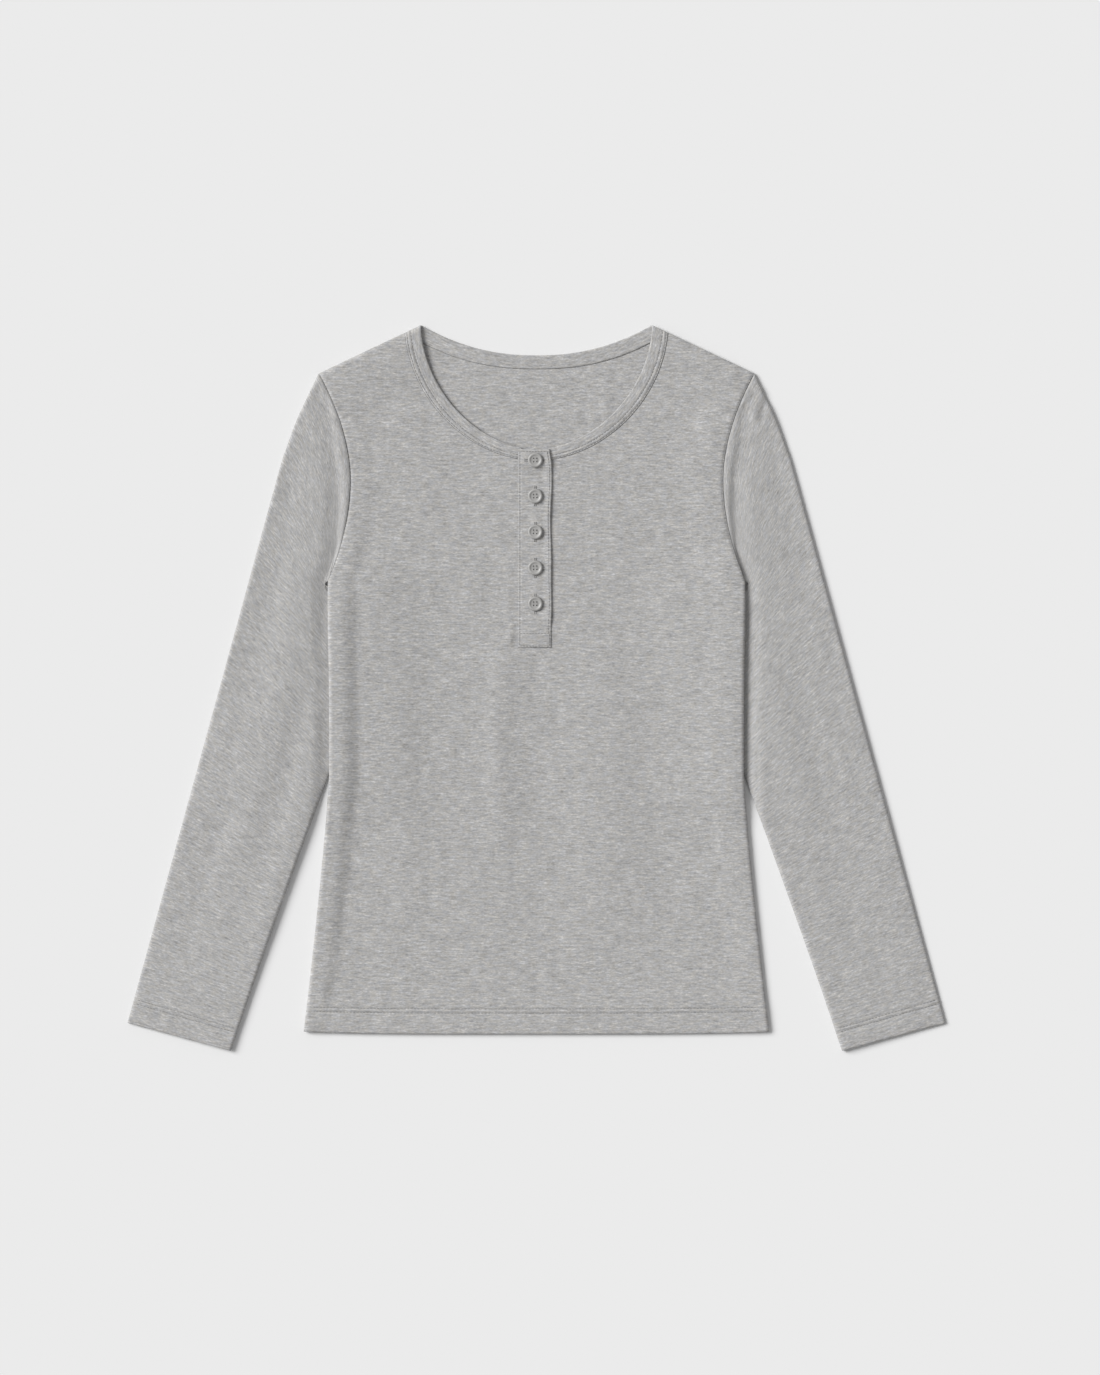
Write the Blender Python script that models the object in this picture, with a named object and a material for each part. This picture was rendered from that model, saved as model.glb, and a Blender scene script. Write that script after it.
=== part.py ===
"""Long-sleeve henley shirt, laid flat on its back.

The cut pieces are built as cloth walls: back, front, two sleeves, the bound neckline, the two layers
of the button placket and five buttons. The body is two height fields that meet at the side and
shoulder folds. Each sleeve is a flattened tube lofted from the armhole to the cuff, tucked under the
side of the body below the underarm.

Lengths in this file are millimetres and become metres where a mesh is made. X runs across the shirt,
Y runs from hem to neck, and Z = 0 is the surface that the shirt lies on.
"""
from math import cos, exp, hypot, pi, sin, sqrt

import bmesh
import bpy
from mathutils import Vector
from mathutils.geometry import delaunay_2d_cdt

MM = 0.001

# Cloth
WALL = 1.0                  # one layer of knit
SEAM_GAP = 0.3              # clearance between neighbouring pieces
EDGE_GAP = 0.35             # sideways clearance along the armhole seam
HEM_TURN = 0.9              # extra thickness of the turned-up hem
HEM_DEPTH = 21.5            # height of the turned-up hem, body and cuffs
STEEP_WALL = 1.25           # most that a steep wall grows in height

# Body outline, half widths
NECK_HALF = 99.3
NECK_POINT_Y = 312.0
SHOULDER_HALF = 187.0
SHOULDER_Y = 270.5
ARM_NARROW_Y = 179.0
FRONT_NARROW = 160.0
BACK_NARROW = 165.0
UNDERARM_Y = 92.0
SIDE_FULLNESS = 1.2
FULLNESS_Y = 70.0
FULLNESS_SPREAD = 45.0
WAIST_Y = -75.0
WAIST_HALF = 178.3
HEM_Y = -297.5
HEM_FLARE = 22.1
HEM_CORNER_RISE = 2.0

# Neckline
FRONT_NECK_DEPTH = 106.6
FRONT_NECK_POWER = 1.85
BAND_HALF = 113.5           # half width and depth of the neckband's outer edge
FRONT_BAND_DEPTH = 116.8
FRONT_BAND_POWER = 1.9
BACK_NECK_DEPTH = 26.0
BACK_NECK_POWER = 2.2
BACK_BAND_DEPTH = 38.0
BACK_BAND_POWER = 2.3
BAND_WALL = 2.0
BAND_PROUD = 0.1            # how far the neckband stands out beyond the front
FOLD_STEPS = 6
FOLD_REACH = 4.5            # the binding starts to turn over the shoulder this near to the neck point
FLAT_SHARE = 0.94           # share of each neckline that lies flat

# Placket
SLIT_LEFT = -13.0
SLIT_RIGHT = 9.5
SLIT_BOTTOM = 46.0
PLACKET_LEFT = -16.0
PLACKET_RIGHT = 12.6
PLACKET_BOTTOM = 34.8
PLACKET_TOP = 205.5
PLACKET_WALL = 1.4
PLACKET_STEP_Y = 188.0      # above this the top layer climbs over the ends of the neckband
PLACKET_STEP = 0.75

# Buttons
BUTTON_X = -1.1
BUTTON_TOP_Y = 195.8
BUTTON_PITCH = 30.85
BUTTON_COUNT = 5
BUTTON_RADIUS = 6.35
BUTTON_THICKNESS = 2.4
BUTTON_SEGMENTS = 16
HOLE_RADIUS = 0.8
HOLE_OFFSET = 1.35
BUTTON_PROFILE = (          # share of the radius and of the thickness, underside to the dish's centre
    {"radius": 0.80, "height": 0.0},
    {"radius": 0.97, "height": 0.28},
    {"radius": 1.0, "height": 0.55},
    {"radius": 0.95, "height": 0.90},
    {"radius": 0.86, "height": 1.0},
    {"radius": 0.72, "height": 0.92},
    {"radius": 0.62, "height": 0.70},
)

# Sleeve outline
SLEEVE_OUTER = (            # half width and height along the outer edge, shoulder to elbow line
    {"half": 187.0, "y": 270.5},
    {"half": 198.0, "y": 247.7},
    {"half": 206.6, "y": 229.0},
    {"half": 215.4, "y": 205.0},
    {"half": 223.4, "y": 179.0},
)
SLEEVE_INNER = (            # half width and height along the inner edge, underarm to cuff
    {"half": 178.9, "y": 92.0},
    {"half": 182.5, "y": 77.0},
    {"half": 171.0, "y": 50.0},
    {"half": 156.5, "y": 8.0},
    {"half": 160.5, "y": -25.0},
    {"half": 178.4, "y": -75.0},
    {"half": 202.1, "y": -139.3},
    {"half": 239.0, "y": -242.5},
)
TUCK_DEPTH = 11.0           # below the underarm the sleeve drops this far before it goes under the body
TUCK_RELEASE = 15.0
TUCK_SLOPE = 0.4
TUCK_CLEAR = 3.5
SLEEVE_LENGTH = 420.0
INNER_PACE = 1.25           # rings lag along the inner edge, which keeps them apart beside the underarm
CURVE_FADE = 4.0            # how soon the rings lose the armhole's curve
CUFF_OUTER = (351.7, -288.0)
CUFF_INNER = (262.6, -312.0)
CUFF_TURN_SHARE = 0.963     # the turned-up cuff starts at this share of the sleeve
CUFF_LOWER_TURN = 0.3       # share of the turn's thickness that shows on the lower layer

# Heights of the layers' middle surfaces
FLOOR_MID = WALL / 2
LAYER_STEP = WALL + SEAM_GAP
SIDE_LIFT = 3.0             # the body rides on the tucked sleeves here
LIFT_START_Y = -125.0
LIFT_RISE = 40.0
LIFT_FADE = 38.0
LIFT_INNER_X = 126.0
LIFT_WIDTH = 22.0
PUFF_BASE = 0.8
PUFF_SIDE = 2.7
PUFF_SHOULDER = 2.9
PUFF_HEM = 1.6
PINCH = 0.45                # share of the puff lost at the underarm and the shoulder point
PINCH_RADIUS = 16.0
ROLL_REACH = 3.0            # width of the rounded side and shoulder edges
UNDERARM_DROP = 0.3         # keeps the back's edge clear of the sleeve's upper layer
SLEEVE_FLAT = 1.85
SLEEVE_LOFT = 4.0
CUFF_LOFT = 3.4
RIDGE = (                   # width of the raised sleeve edge beside the armhole seam
    {"y": 92.0, "width": 0.5},
    {"y": 118.0, "width": 2.0},
    {"y": 140.0, "width": 7.0},
    {"y": 170.0, "width": 10.0},
    {"y": 205.0, "width": 11.6},
    {"y": 247.0, "width": 5.0},
    {"y": 270.5, "width": 3.0},
)
RIDGE_FALL = 6.0
VALLEY_RISE = 18.0
VALLEY_UPPER = 2.5

# Mesh density
PANEL_STEP = 23.0
PANEL_CLEAR = 9.0
SIDE_STEPS = 20
ARMHOLE_STEPS = 9
UNDERARM_CROWDING = 0.6
NECK_STEPS = 12
SLEEVE_RINGS = (0.0, 0.007, 0.016, 0.028, 0.045, 0.07, 0.105, 0.15, 0.2, 0.26, 0.33,
                0.41, 0.5, 0.59, 0.68, 0.77, 0.86, 0.93, 0.962, 0.965, 1.0)

FABRIC_GREY = (0.415, 0.41, 0.40, 1.0)
BUTTON_GREY = (0.32, 0.315, 0.31, 1.0)


# ---------------------------------------------------------------- small functions

def smooth(t):
    t = min(max(t, 0.0), 1.0)
    return t * t * (3.0 - 2.0 * t)


def round_edge(distance):
    """Quarter-round rise, 0 on the edge and 1 from ROLL_REACH inwards."""
    t = min(max(distance / ROLL_REACH, 0.0), 1.0)
    return sqrt(1.0 - (1.0 - t) ** 2)


def from_table(rows, key, value, at):
    """Smoothly interpolated table value."""
    if at <= rows[0][key]:
        return rows[0][value]
    for first, second in zip(rows, rows[1:]):
        if at <= second[key]:
            t = (at - first[key]) / (second[key] - first[key])
            return first[value] + (second[value] - first[value]) * smooth(t)
    return rows[-1][value]


def even_path(points, fraction):
    """Point at a fraction of the length of a smooth curve through the points."""
    curve = []
    padded = [points[0]] + list(points) + [points[-1]]
    for a, b, c, d in zip(padded, padded[1:], padded[2:], padded[3:]):
        for step in range(12):
            t = step / 12
            curve.append(tuple(catmull_rom(a[i], b[i], c[i], d[i], t) for i in (0, 1)))
    curve.append(points[-1])
    lengths = [hypot(q[0] - p[0], q[1] - p[1]) for p, q in zip(curve, curve[1:])]
    target = fraction * sum(lengths)
    for p, q, length in zip(curve, curve[1:], lengths):
        if target <= length:
            t = target / length
            return p[0] + (q[0] - p[0]) * t, p[1] + (q[1] - p[1]) * t
        target -= length
    return curve[-1]


def catmull_rom(a, b, c, d, t):
    return 0.5 * (2 * b + (c - a) * t + (2 * a - 5 * b + 4 * c - d) * t ** 2
                  + (3 * b - a - 3 * c + d) * t ** 3)


def blend(p, q, t):
    return tuple(u + (v - u) * t for u, v in zip(p, q))


# ---------------------------------------------------------------- outlines

def side_half(y):
    """Half width of the body below the underarm."""
    if y >= WAIST_Y:
        return WAIST_HALF + SIDE_FULLNESS * exp(-((y - FULLNESS_Y) / FULLNESS_SPREAD) ** 2)
    return WAIST_HALF + HEM_FLARE * ((WAIST_Y - y) / (WAIST_Y - HEM_Y)) ** 1.2


def armhole_half(y, narrow):
    """Half width of the body at the armhole, which is narrowest at ARM_NARROW_Y."""
    if y > ARM_NARROW_Y:
        t = (y - ARM_NARROW_Y) / (SHOULDER_Y - ARM_NARROW_Y)
        return narrow + (SHOULDER_HALF - narrow) * t ** 1.85
    t = (ARM_NARROW_Y - y) / (ARM_NARROW_Y - UNDERARM_Y)
    return narrow + (side_half(UNDERARM_Y) - narrow) * t ** 1.95


def body_half(y):
    if y < UNDERARM_Y:
        return side_half(y)
    return armhole_half(min(y, SHOULDER_Y), FRONT_NARROW)


def hem_line(x):
    return HEM_Y + HEM_CORNER_RISE * (abs(x) / side_half(HEM_Y)) ** 4


def shoulder_line(x):
    slope = (NECK_POINT_Y - SHOULDER_Y) / (SHOULDER_HALF - NECK_HALF)
    return NECK_POINT_Y - (abs(x) - NECK_HALF) * slope


def shoulder_distance(x, y):
    """Distance below the shoulder line, straight across it."""
    slope = (NECK_POINT_Y - SHOULDER_Y) / (SHOULDER_HALF - NECK_HALF)
    return (shoulder_line(x) - y) / sqrt(1.0 + slope ** 2)


def front_curve(angle, half, depth, power):
    """Front neckline: angle 0 at the centre front, pi/2 level with the neck point."""
    x = half * sin(angle) ** (2 / power)
    y = NECK_POINT_Y - depth * max(cos(angle), 0.0) ** (2 / power)
    return x, y


def band_end_angle(inset):
    """Angle at which the neckband's outer edge reaches the shoulder line."""
    low, high = pi / 4, pi / 2
    for _ in range(40):
        middle = (low + high) / 2
        x, y = front_curve(middle, BAND_HALF - inset, FRONT_BAND_DEPTH - inset, FRONT_BAND_POWER)
        if y < shoulder_line(x):
            low = middle
        else:
            high = middle
    return low


def front_inner(t):
    return front_curve(t * pi / 2, NECK_HALF, FRONT_NECK_DEPTH, FRONT_NECK_POWER)


def front_outer(t, inset=0.0):
    angle = t * band_end_angle(inset)
    return front_curve(angle, BAND_HALF - inset, FRONT_BAND_DEPTH - inset, FRONT_BAND_POWER)


def back_inner(t):
    """Back neckline: t runs from 0 at the centre back to 1 at the neck point."""
    return NECK_HALF * t, NECK_POINT_Y - BACK_NECK_DEPTH * (1.0 - t ** BACK_NECK_POWER)


def back_outer(t, inset=0.0):
    end_x, end_y = front_outer(1.0, inset)
    bottom = NECK_POINT_Y - BACK_BAND_DEPTH + inset
    return end_x * t, bottom + (end_y - bottom) * t ** BACK_BAND_POWER


def neck_stations():
    """Even steps from the centre (0) to the shoulder (1)."""
    return [k / NECK_STEPS for k in range(NECK_STEPS + 1)]


def across_fractions(length, count):
    """Steps across a sleeve: close together in the round edges and towards the underarm."""
    edge = ROLL_REACH / length
    even = [k / (count + 1) for k in range(count + 2)]
    inner = [edge + (1.0 - 2 * edge) * (u + UNDERARM_CROWDING * u * (1.0 - u)) for u in even]
    return [0.0] + inner + [1.0]


def armhole_points(narrow, shift=0.0):
    """Armhole seam from the shoulder point down to the underarm."""
    points = []
    for f in across_fractions(SHOULDER_Y - UNDERARM_Y, ARMHOLE_STEPS):
        y = SHOULDER_Y + (UNDERARM_Y - SHOULDER_Y) * f
        points.append((armhole_half(y, narrow) + shift, y))
    return points


# ---------------------------------------------------------------- heights

def side_lift(y):
    return SIDE_LIFT * smooth((y - LIFT_START_Y) / LIFT_RISE) * (1 - smooth((y - UNDERARM_Y) / LIFT_FADE))


def back_flat(x, y):
    """Back panel's middle surface without its rounded edges."""
    return FLOOR_MID + side_lift(y) * smooth((abs(x) - LIFT_INNER_X) / LIFT_WIDTH)


def puff(x, y):
    """Air between front and back, most of it along the edges."""
    inside = max(body_half(y) - abs(x), 0.0)
    below = max(shoulder_distance(x, y), 0.0)
    side = PUFF_SIDE * (1 - smooth((inside - 10) / 28))
    shoulder = PUFF_SHOULDER * (1 - smooth((below - 6) / 60))
    hem = PUFF_HEM * (1 - smooth((y - HEM_Y - HEM_DEPTH) / 30))
    total = (PUFF_BASE ** 3 + side ** 3 + shoulder ** 3 + hem ** 3) ** (1 / 3)
    for px, py in ((side_half(UNDERARM_Y), UNDERARM_Y), (SHOULDER_HALF, SHOULDER_Y)):
        distance = hypot(abs(x) - px, y - py)
        total *= 1.0 - PINCH * exp(-(distance / PINCH_RADIUS) ** 2)
    return total


def front_flat(x, y):
    return back_flat(x, y) + LAYER_STEP + puff(x, y)


def edge_rise(x, y):
    """0 on the side and shoulder folds, 1 away from them. The armhole seam isn't a fold."""
    side = round_edge(body_half(y) - abs(x))
    side = 1.0 - (1.0 - side) * (1.0 - smooth((y - UNDERARM_Y) / 8))
    if abs(x) < NECK_HALF:
        return side
    return side * round_edge(shoulder_distance(x, y))


def front_mid(x, y):
    low, high = back_flat(x, y), front_flat(x, y)
    seam = (low + high) / 2 + (SEAM_GAP + WALL * STEEP_WALL) / 2
    return seam + (high - seam) * edge_rise(x, y)


def back_mid(x, y):
    low, high = back_flat(x, y), front_flat(x, y)
    seam = (low + high) / 2 - (SEAM_GAP + WALL * STEEP_WALL) / 2
    seam -= UNDERARM_DROP * smooth((y - UNDERARM_Y + TUCK_DEPTH) / (TUCK_DEPTH - 2))
    return seam + (low - seam) * edge_rise(x, y)


def sleeve_edge_height(y):
    """Height of the front panel's edge where the sleeve is sewn on."""
    y = min(max(y, UNDERARM_Y), SHOULDER_Y)
    return front_mid(armhole_half(y, FRONT_NARROW), y)


def sleeve_top(x, y):
    """Upper layer of a sleeve: seam ridge, valley beside the body, then the full loft."""
    out = abs(x) - body_half(y)
    if out < 0 and y < UNDERARM_Y:
        return SLEEVE_FLAT
    valley = SLEEVE_FLAT + (VALLEY_UPPER - SLEEVE_FLAT) * smooth((y - UNDERARM_Y) / 40)
    loft = SLEEVE_LOFT + (CUFF_LOFT - SLEEVE_LOFT) * smooth((-y - 100) / 150)
    ridge = from_table(RIDGE, "y", "width", y)
    height = valley + (loft - valley) * smooth((out - ridge - RIDGE_FALL) / VALLEY_RISE)
    reach = smooth((y - UNDERARM_Y + TUCK_DEPTH) / (TUCK_DEPTH - 2))
    shoulder = smooth((y - SHOULDER_Y + 30) / 30)
    fall = RIDGE_FALL + 20 * shoulder
    seam = sleeve_edge_height(y)
    return height + (seam - height) * reach * (1 - smooth((out - ridge) / fall))


def sleeve_bottom(x, y):
    """Lower layer of a sleeve: on the floor, except where the back panel's edge is raised."""
    out = abs(x) - armhole_half(min(max(y, UNDERARM_Y), SHOULDER_Y), BACK_NARROW)
    reach = smooth((y - UNDERARM_Y + TUCK_DEPTH) / (TUCK_DEPTH - 2))
    near = 1 - smooth(out / 20)
    at_shoulder = back_mid(SHOULDER_HALF, SHOULDER_Y) - FLOOR_MID
    lift = side_lift(y) * reach * near
    tip = at_shoulder * smooth((y - SHOULDER_Y + ROLL_REACH) / ROLL_REACH) * near
    return FLOOR_MID + max(lift, tip)


# ---------------------------------------------------------------- walls

def slope_growth(height, x, y):
    """How much taller a sloping wall is than a flat one."""
    step = 0.5
    dx = (height(x + step, y) - height(x - step, y)) / (2 * step)
    dy = (height(x, y + step) - height(x, y - step)) / (2 * step)
    return min(sqrt(1.0 + dx * dx + dy * dy), STEEP_WALL)


def add_object(name, vertices, faces, material):
    mesh = bpy.data.meshes.new(name)
    mesh.from_pydata([Vector(v) * MM for v in vertices], [], faces)
    shell = bmesh.new()
    shell.from_mesh(mesh)
    bmesh.ops.recalc_face_normals(shell, faces=shell.faces)
    bmesh.ops.triangulate(shell, faces=shell.faces)
    shell.to_mesh(mesh)
    shell.free()
    mesh.materials.append(material)
    mesh.shade_smooth()
    mesh.set_sharp_from_angle(angle=pi / 5)
    piece = bpy.data.objects.new(name, mesh)
    bpy.context.scene.collection.objects.link(piece)
    return piece


def wall_from_plan(name, outline, rows, height, turn, material):
    """Closed wall over a plan: outline loop, extra rows of points, height field, turned hem."""
    inner_points = grid_inside(outline, rows)
    points = list(outline)
    edges = [(k, (k + 1) % len(outline)) for k in range(len(outline))]
    for row in rows:
        first = len(points)
        points += row
        edges += [(first + k, first + k + 1) for k in range(len(row) - 1)]
    points += inner_points
    flat = delaunay_2d_cdt([Vector(p) for p in points], edges, [], 1, 1e-6)
    plan, triangles = flat[0], [tuple(face) for face in flat[2]]
    vertices = []
    for side in (1, -1):
        for p in plan:
            half = WALL / 2 * slope_growth(height, p.x, p.y)
            z = height(p.x, p.y) + side * half
            if side == turn and p.y < HEM_Y + HEM_DEPTH - 1:
                z += turn * HEM_TURN * edge_rise(p.x, p.y)
            vertices.append((p.x, p.y, z))
    count = len(plan)
    faces = list(triangles)
    faces += [tuple(k + count for k in reversed(tri)) for tri in triangles]
    used = {}
    for tri in triangles:
        for a, b in zip(tri, tri[1:] + tri[:1]):
            used[(a, b)] = (b, a)
    for (a, b), back in used.items():
        if back not in used:
            faces.append((b, a, a + count, b + count))
    return add_object(name, vertices, faces, material)


def inside_polygon(p, polygon):
    inside = False
    for a, b in zip(polygon, polygon[1:] + polygon[:1]):
        if (a[1] > p[1]) != (b[1] > p[1]):
            if p[0] < a[0] + (b[0] - a[0]) * (p[1] - a[1]) / (b[1] - a[1]):
                inside = not inside
    return inside


def grid_inside(outline, rows):
    """Staggered grid of points, kept clear of the outline and of the rows."""
    fixed = list(outline) + [p for row in rows for p in row]
    lines = list(zip(outline, outline[1:] + outline[:1]))
    lines += [pair for row in rows for pair in zip(row, row[1:])]
    low_y = min(p[1] for p in fixed)
    high_y = max(p[1] for p in fixed)
    high_x = max(p[0] for p in fixed)
    kept = []
    for j in range(int((high_y - low_y) / PANEL_STEP) + 1):
        for i in range(-int(high_x / PANEL_STEP) - 1, int(high_x / PANEL_STEP) + 2):
            p = ((i + 0.5 * (j % 2)) * PANEL_STEP, low_y + (j + 0.5) * PANEL_STEP)
            if not inside_polygon(p, outline):
                continue
            if min(segment_distance(p, a, b) for a, b in lines) > PANEL_CLEAR:
                kept.append(p)
    return kept


def segment_distance(p, a, b):
    along = (b[0] - a[0], b[1] - a[1])
    length = along[0] ** 2 + along[1] ** 2
    t = ((p[0] - a[0]) * along[0] + (p[1] - a[1]) * along[1]) / length
    t = min(max(t, 0.0), 1.0)
    return hypot(p[0] - a[0] - along[0] * t, p[1] - a[1] - along[1] * t)


def mirrored(points):
    return [(-x, y) for x, y in reversed(points)]


# ---------------------------------------------------------------- body panels

def side_rows():
    """Heights of the rows along the side edge, hem to underarm."""
    return [HEM_Y + HEM_CORNER_RISE + (UNDERARM_Y - HEM_Y - HEM_CORNER_RISE) * k / SIDE_STEPS
            for k in range(SIDE_STEPS + 1)]


def panel_half_outline(narrow, neck):
    """Right half of a panel's outline, from the hem corner up to the neckline's centre."""
    points = [(side_half(y), y) for y in side_rows()[:-1]]
    points += list(reversed(armhole_points(narrow)))
    end = neck[-1]
    start = points[-1]
    points += [blend(start, end, k / 4) for k in (1, 2, 3)]
    return points + list(reversed(neck))


def fold_rows(narrow):
    """Extra rows of points that carry the rounded side and shoulder edges."""
    rows = []
    for inset in (ROLL_REACH * 0.25, ROLL_REACH):
        low = side_rows()[:-1]
        side = [(side_half(y) - inset, y) for y in low if y > HEM_Y + 3]
        end = front_outer(1.0)
        top = []
        for k in range(5):
            x = end[0] + 2 + (SHOULDER_HALF - 9 - end[0]) * k / 4
            top.append((x, shoulder_line(x) - inset * 1.1))
        rows += [side, [(-x, y) for x, y in side], top, [(-x, y) for x, y in top]]
    hem = HEM_Y + HEM_DEPTH
    for y in (hem, hem - 2):
        reach = side_half(y) - 2 * ROLL_REACH
        rows.append([(reach * (k / 8 - 1), y) for k in range(17)])
    return rows


def hem_points():
    reach = side_half(HEM_Y)
    return [(x, hem_line(x)) for x in (reach * (k / 9 - 1) for k in range(1, 18))]


def make_back(material):
    neck = [back_outer(t) for t in neck_stations()]
    right = panel_half_outline(BACK_NARROW, neck)
    outline = hem_points() + right + mirrored(right)[1:]
    return wall_from_plan("back_panel", outline, fold_rows(BACK_NARROW), back_mid, 1, material)


def make_front(material):
    neck = [front_outer(t) for t in neck_stations()]
    right = panel_half_outline(FRONT_NARROW, neck)
    left = mirrored(right)
    right = [p for p in right if not (p[0] < SLIT_RIGHT + 2 and p[1] > 0)]
    left = [p for p in left if not (p[0] > SLIT_LEFT - 2 and p[1] > 0)]
    slit = slit_side(SLIT_RIGHT)[::-1] + slit_side(SLIT_LEFT)
    outline = hem_points() + right + slit + left
    return wall_from_plan("front_panel", outline, fold_rows(FRONT_NARROW), front_mid, -1, material)


def slit_side(x):
    """One side of the placket slit, from its foot up to the neckband."""
    top = neck_height(x)
    return [(x, SLIT_BOTTOM + (top - SLIT_BOTTOM) * k / 7) for k in range(8)]


def neck_height(x):
    """Height of the neckband's outer edge at a place across the front."""
    t = min(abs(x) / BAND_HALF, 1.0)
    return NECK_POINT_Y - FRONT_BAND_DEPTH * (1.0 - t ** FRONT_BAND_POWER) ** (1 / FRONT_BAND_POWER)


# ---------------------------------------------------------------- sleeves

def sleeve_outer_edge(t):
    points = [(row["half"], row["y"]) for row in SLEEVE_OUTER]
    return even_path(points + [blend(points[-1], CUFF_OUTER, k / 3) for k in (1, 2, 3)], t)


def sleeve_inner_edge(t):
    points = [(row["half"], row["y"]) for row in SLEEVE_INNER]
    return even_path(points + [CUFF_INNER], t)


def sleeve_plan(t, f, narrow):
    """Plan position: t from armhole (0) to cuff (1), f from outer edge (0) to inner edge (1)."""
    y = SHOULDER_Y + (UNDERARM_Y - SHOULDER_Y) * f
    armhole = (armhole_half(y, narrow) + EDGE_GAP, y)
    outer, inner = sleeve_outer_edge(t), sleeve_inner_edge(t ** INNER_PACE)
    corners = [(SHOULDER_HALF, SHOULDER_Y), (side_half(UNDERARM_Y), UNDERARM_Y)]
    place = []
    for i in (0, 1):
        along = outer[i] * (1 - f) + inner[i] * f
        straight = corners[0][i] * (1 - f) + corners[1][i] * f
        place.append(along + (armhole[i] - straight) * (1 - t) ** CURVE_FADE)
    if place[1] > UNDERARM_Y - TUCK_RELEASE:
        if place[1] > UNDERARM_Y:
            body = armhole_half(min(place[1], SHOULDER_Y), narrow)
        else:
            body = side_half(place[1])
        clear = EDGE_GAP + min(TUCK_SLOPE * t * SLEEVE_LENGTH, TUCK_CLEAR)
        place[0] = max(place[0], body + clear)
    return tuple(place)


def sleeve_ring(t):
    """Outer and inner loops of one ring of the sleeve's wall."""
    outer_end, inner_end = sleeve_plan(t, 0.0, FRONT_NARROW), sleeve_plan(t, 1.0, FRONT_NARROW)
    length = hypot(outer_end[0] - inner_end[0], outer_end[1] - inner_end[1])
    fractions = across_fractions(length, ARMHOLE_STEPS)
    inner = [0.5 + (f - 0.5) * (1 - 2 * WALL / length) for f in fractions]
    turn = HEM_TURN if t > CUFF_TURN_SHARE else 0.0
    outside, inside = [], []
    for f, g in zip(fractions[1:-1], inner[1:-1]):
        x, y = sleeve_plan(t, f, FRONT_NARROW)
        half = WALL / 2 * slope_growth(sleeve_top, x, y)
        outside.append((x, y, sleeve_top(x, y) + half))
        x, y = sleeve_plan(t, g, FRONT_NARROW)
        inside.append((x, y, sleeve_top(x, y) - half - turn))
    lower_out, lower_in = [], []
    for f, g in zip(fractions[-2:0:-1], inner[-2:0:-1]):
        x, y = sleeve_plan(t, f, BACK_NARROW)
        half = WALL / 2 * slope_growth(sleeve_bottom, x, y)
        lower_out.append((x, y, sleeve_bottom(x, y) - half))
        x, y = sleeve_plan(t, g, BACK_NARROW)
        lower_in.append((x, y, sleeve_bottom(x, y) + half + turn * CUFF_LOWER_TURN))
    edge_out, edge_in = [], []
    for end, f, top, bottom in ((inner_end, inner[-1], -1, 0), (outer_end, inner[0], 0, -1)):
        middle = (outside[top][2] + lower_out[bottom][2]) / 2
        inset = sleeve_plan(t, f, FRONT_NARROW)
        edge_out.append((end[0], end[1], middle))
        edge_in.append((inset[0], inset[1], (inside[top][2] + lower_in[bottom][2]) / 2))
    outside += [edge_out[0]] + lower_out + [edge_out[1]]
    inside += [edge_in[0]] + lower_in + [edge_in[1]]
    return outside, inside


def make_sleeve(name, side, material):
    """Flattened tube; side is 1 for +X and -1 for -X."""
    rings = [sleeve_ring(t) for t in SLEEVE_RINGS]
    count = len(rings[0][0])
    loops = [outer for outer, _ in rings] + [inner for _, inner in reversed(rings)]
    vertices = [(side * x, y, z) for loop in loops for x, y, z in loop]
    faces = []
    for k in range(len(loops)):
        after = (k + 1) % len(loops)
        for i in range(count):
            j = (i + 1) % count
            faces.append((k * count + i, k * count + j, after * count + j, after * count + i))
    return add_object(name, vertices, faces, material)


# ---------------------------------------------------------------- neckband

def band_stations():
    """Sections from the placket over one shoulder, half way round: outer and inner side of each edge."""
    inner_end, outer_end = front_inner(1.0), front_outer(1.0, SEAM_GAP)
    edges = []
    for front, back, end in ((front_inner, back_inner, inner_end), (gapped_front, gapped_back, outer_end)):
        edges.append((fold_start(front, end), fold_start(back, end), end, front, back))
    flat_part = [t for t in neck_stations() if t < FLAT_SHARE]
    sections = [flat_section(edges, 3, t, front_flat, BAND_PROUD, 1) for t in flat_part]
    for step in range(FOLD_STEPS + 1):
        sections.append(fold_section(edges, pi * step / FOLD_STEPS))
    for t in reversed(flat_part):
        sections.append(flat_section(edges, 4, t, back_flat, BAND_WALL / 2 - FLOOR_MID, -1))
    return sections


def gapped_front(t):
    return front_outer(t, SEAM_GAP)


def gapped_back(t):
    return back_outer(t, SEAM_GAP)


def fold_start(curve, end):
    """Place on a neckline where the fold over the shoulder begins."""
    t = 1.0
    while hypot(curve(t)[0] - end[0], curve(t)[1] - end[1]) < FOLD_REACH:
        t -= 0.002
    return curve(t)


def flat_section(edges, which, t, height, proud, up):
    """Section of the front (up = 1) or of the back, whose outer side faces down (up = -1)."""
    section = []
    for edge in edges:
        x, y = edge[which](t)
        z = height(x, y) + proud
        half = up * BAND_WALL / 2
        section.append(((x, y, z + half), (x, y, z - half)))
    return section


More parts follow.
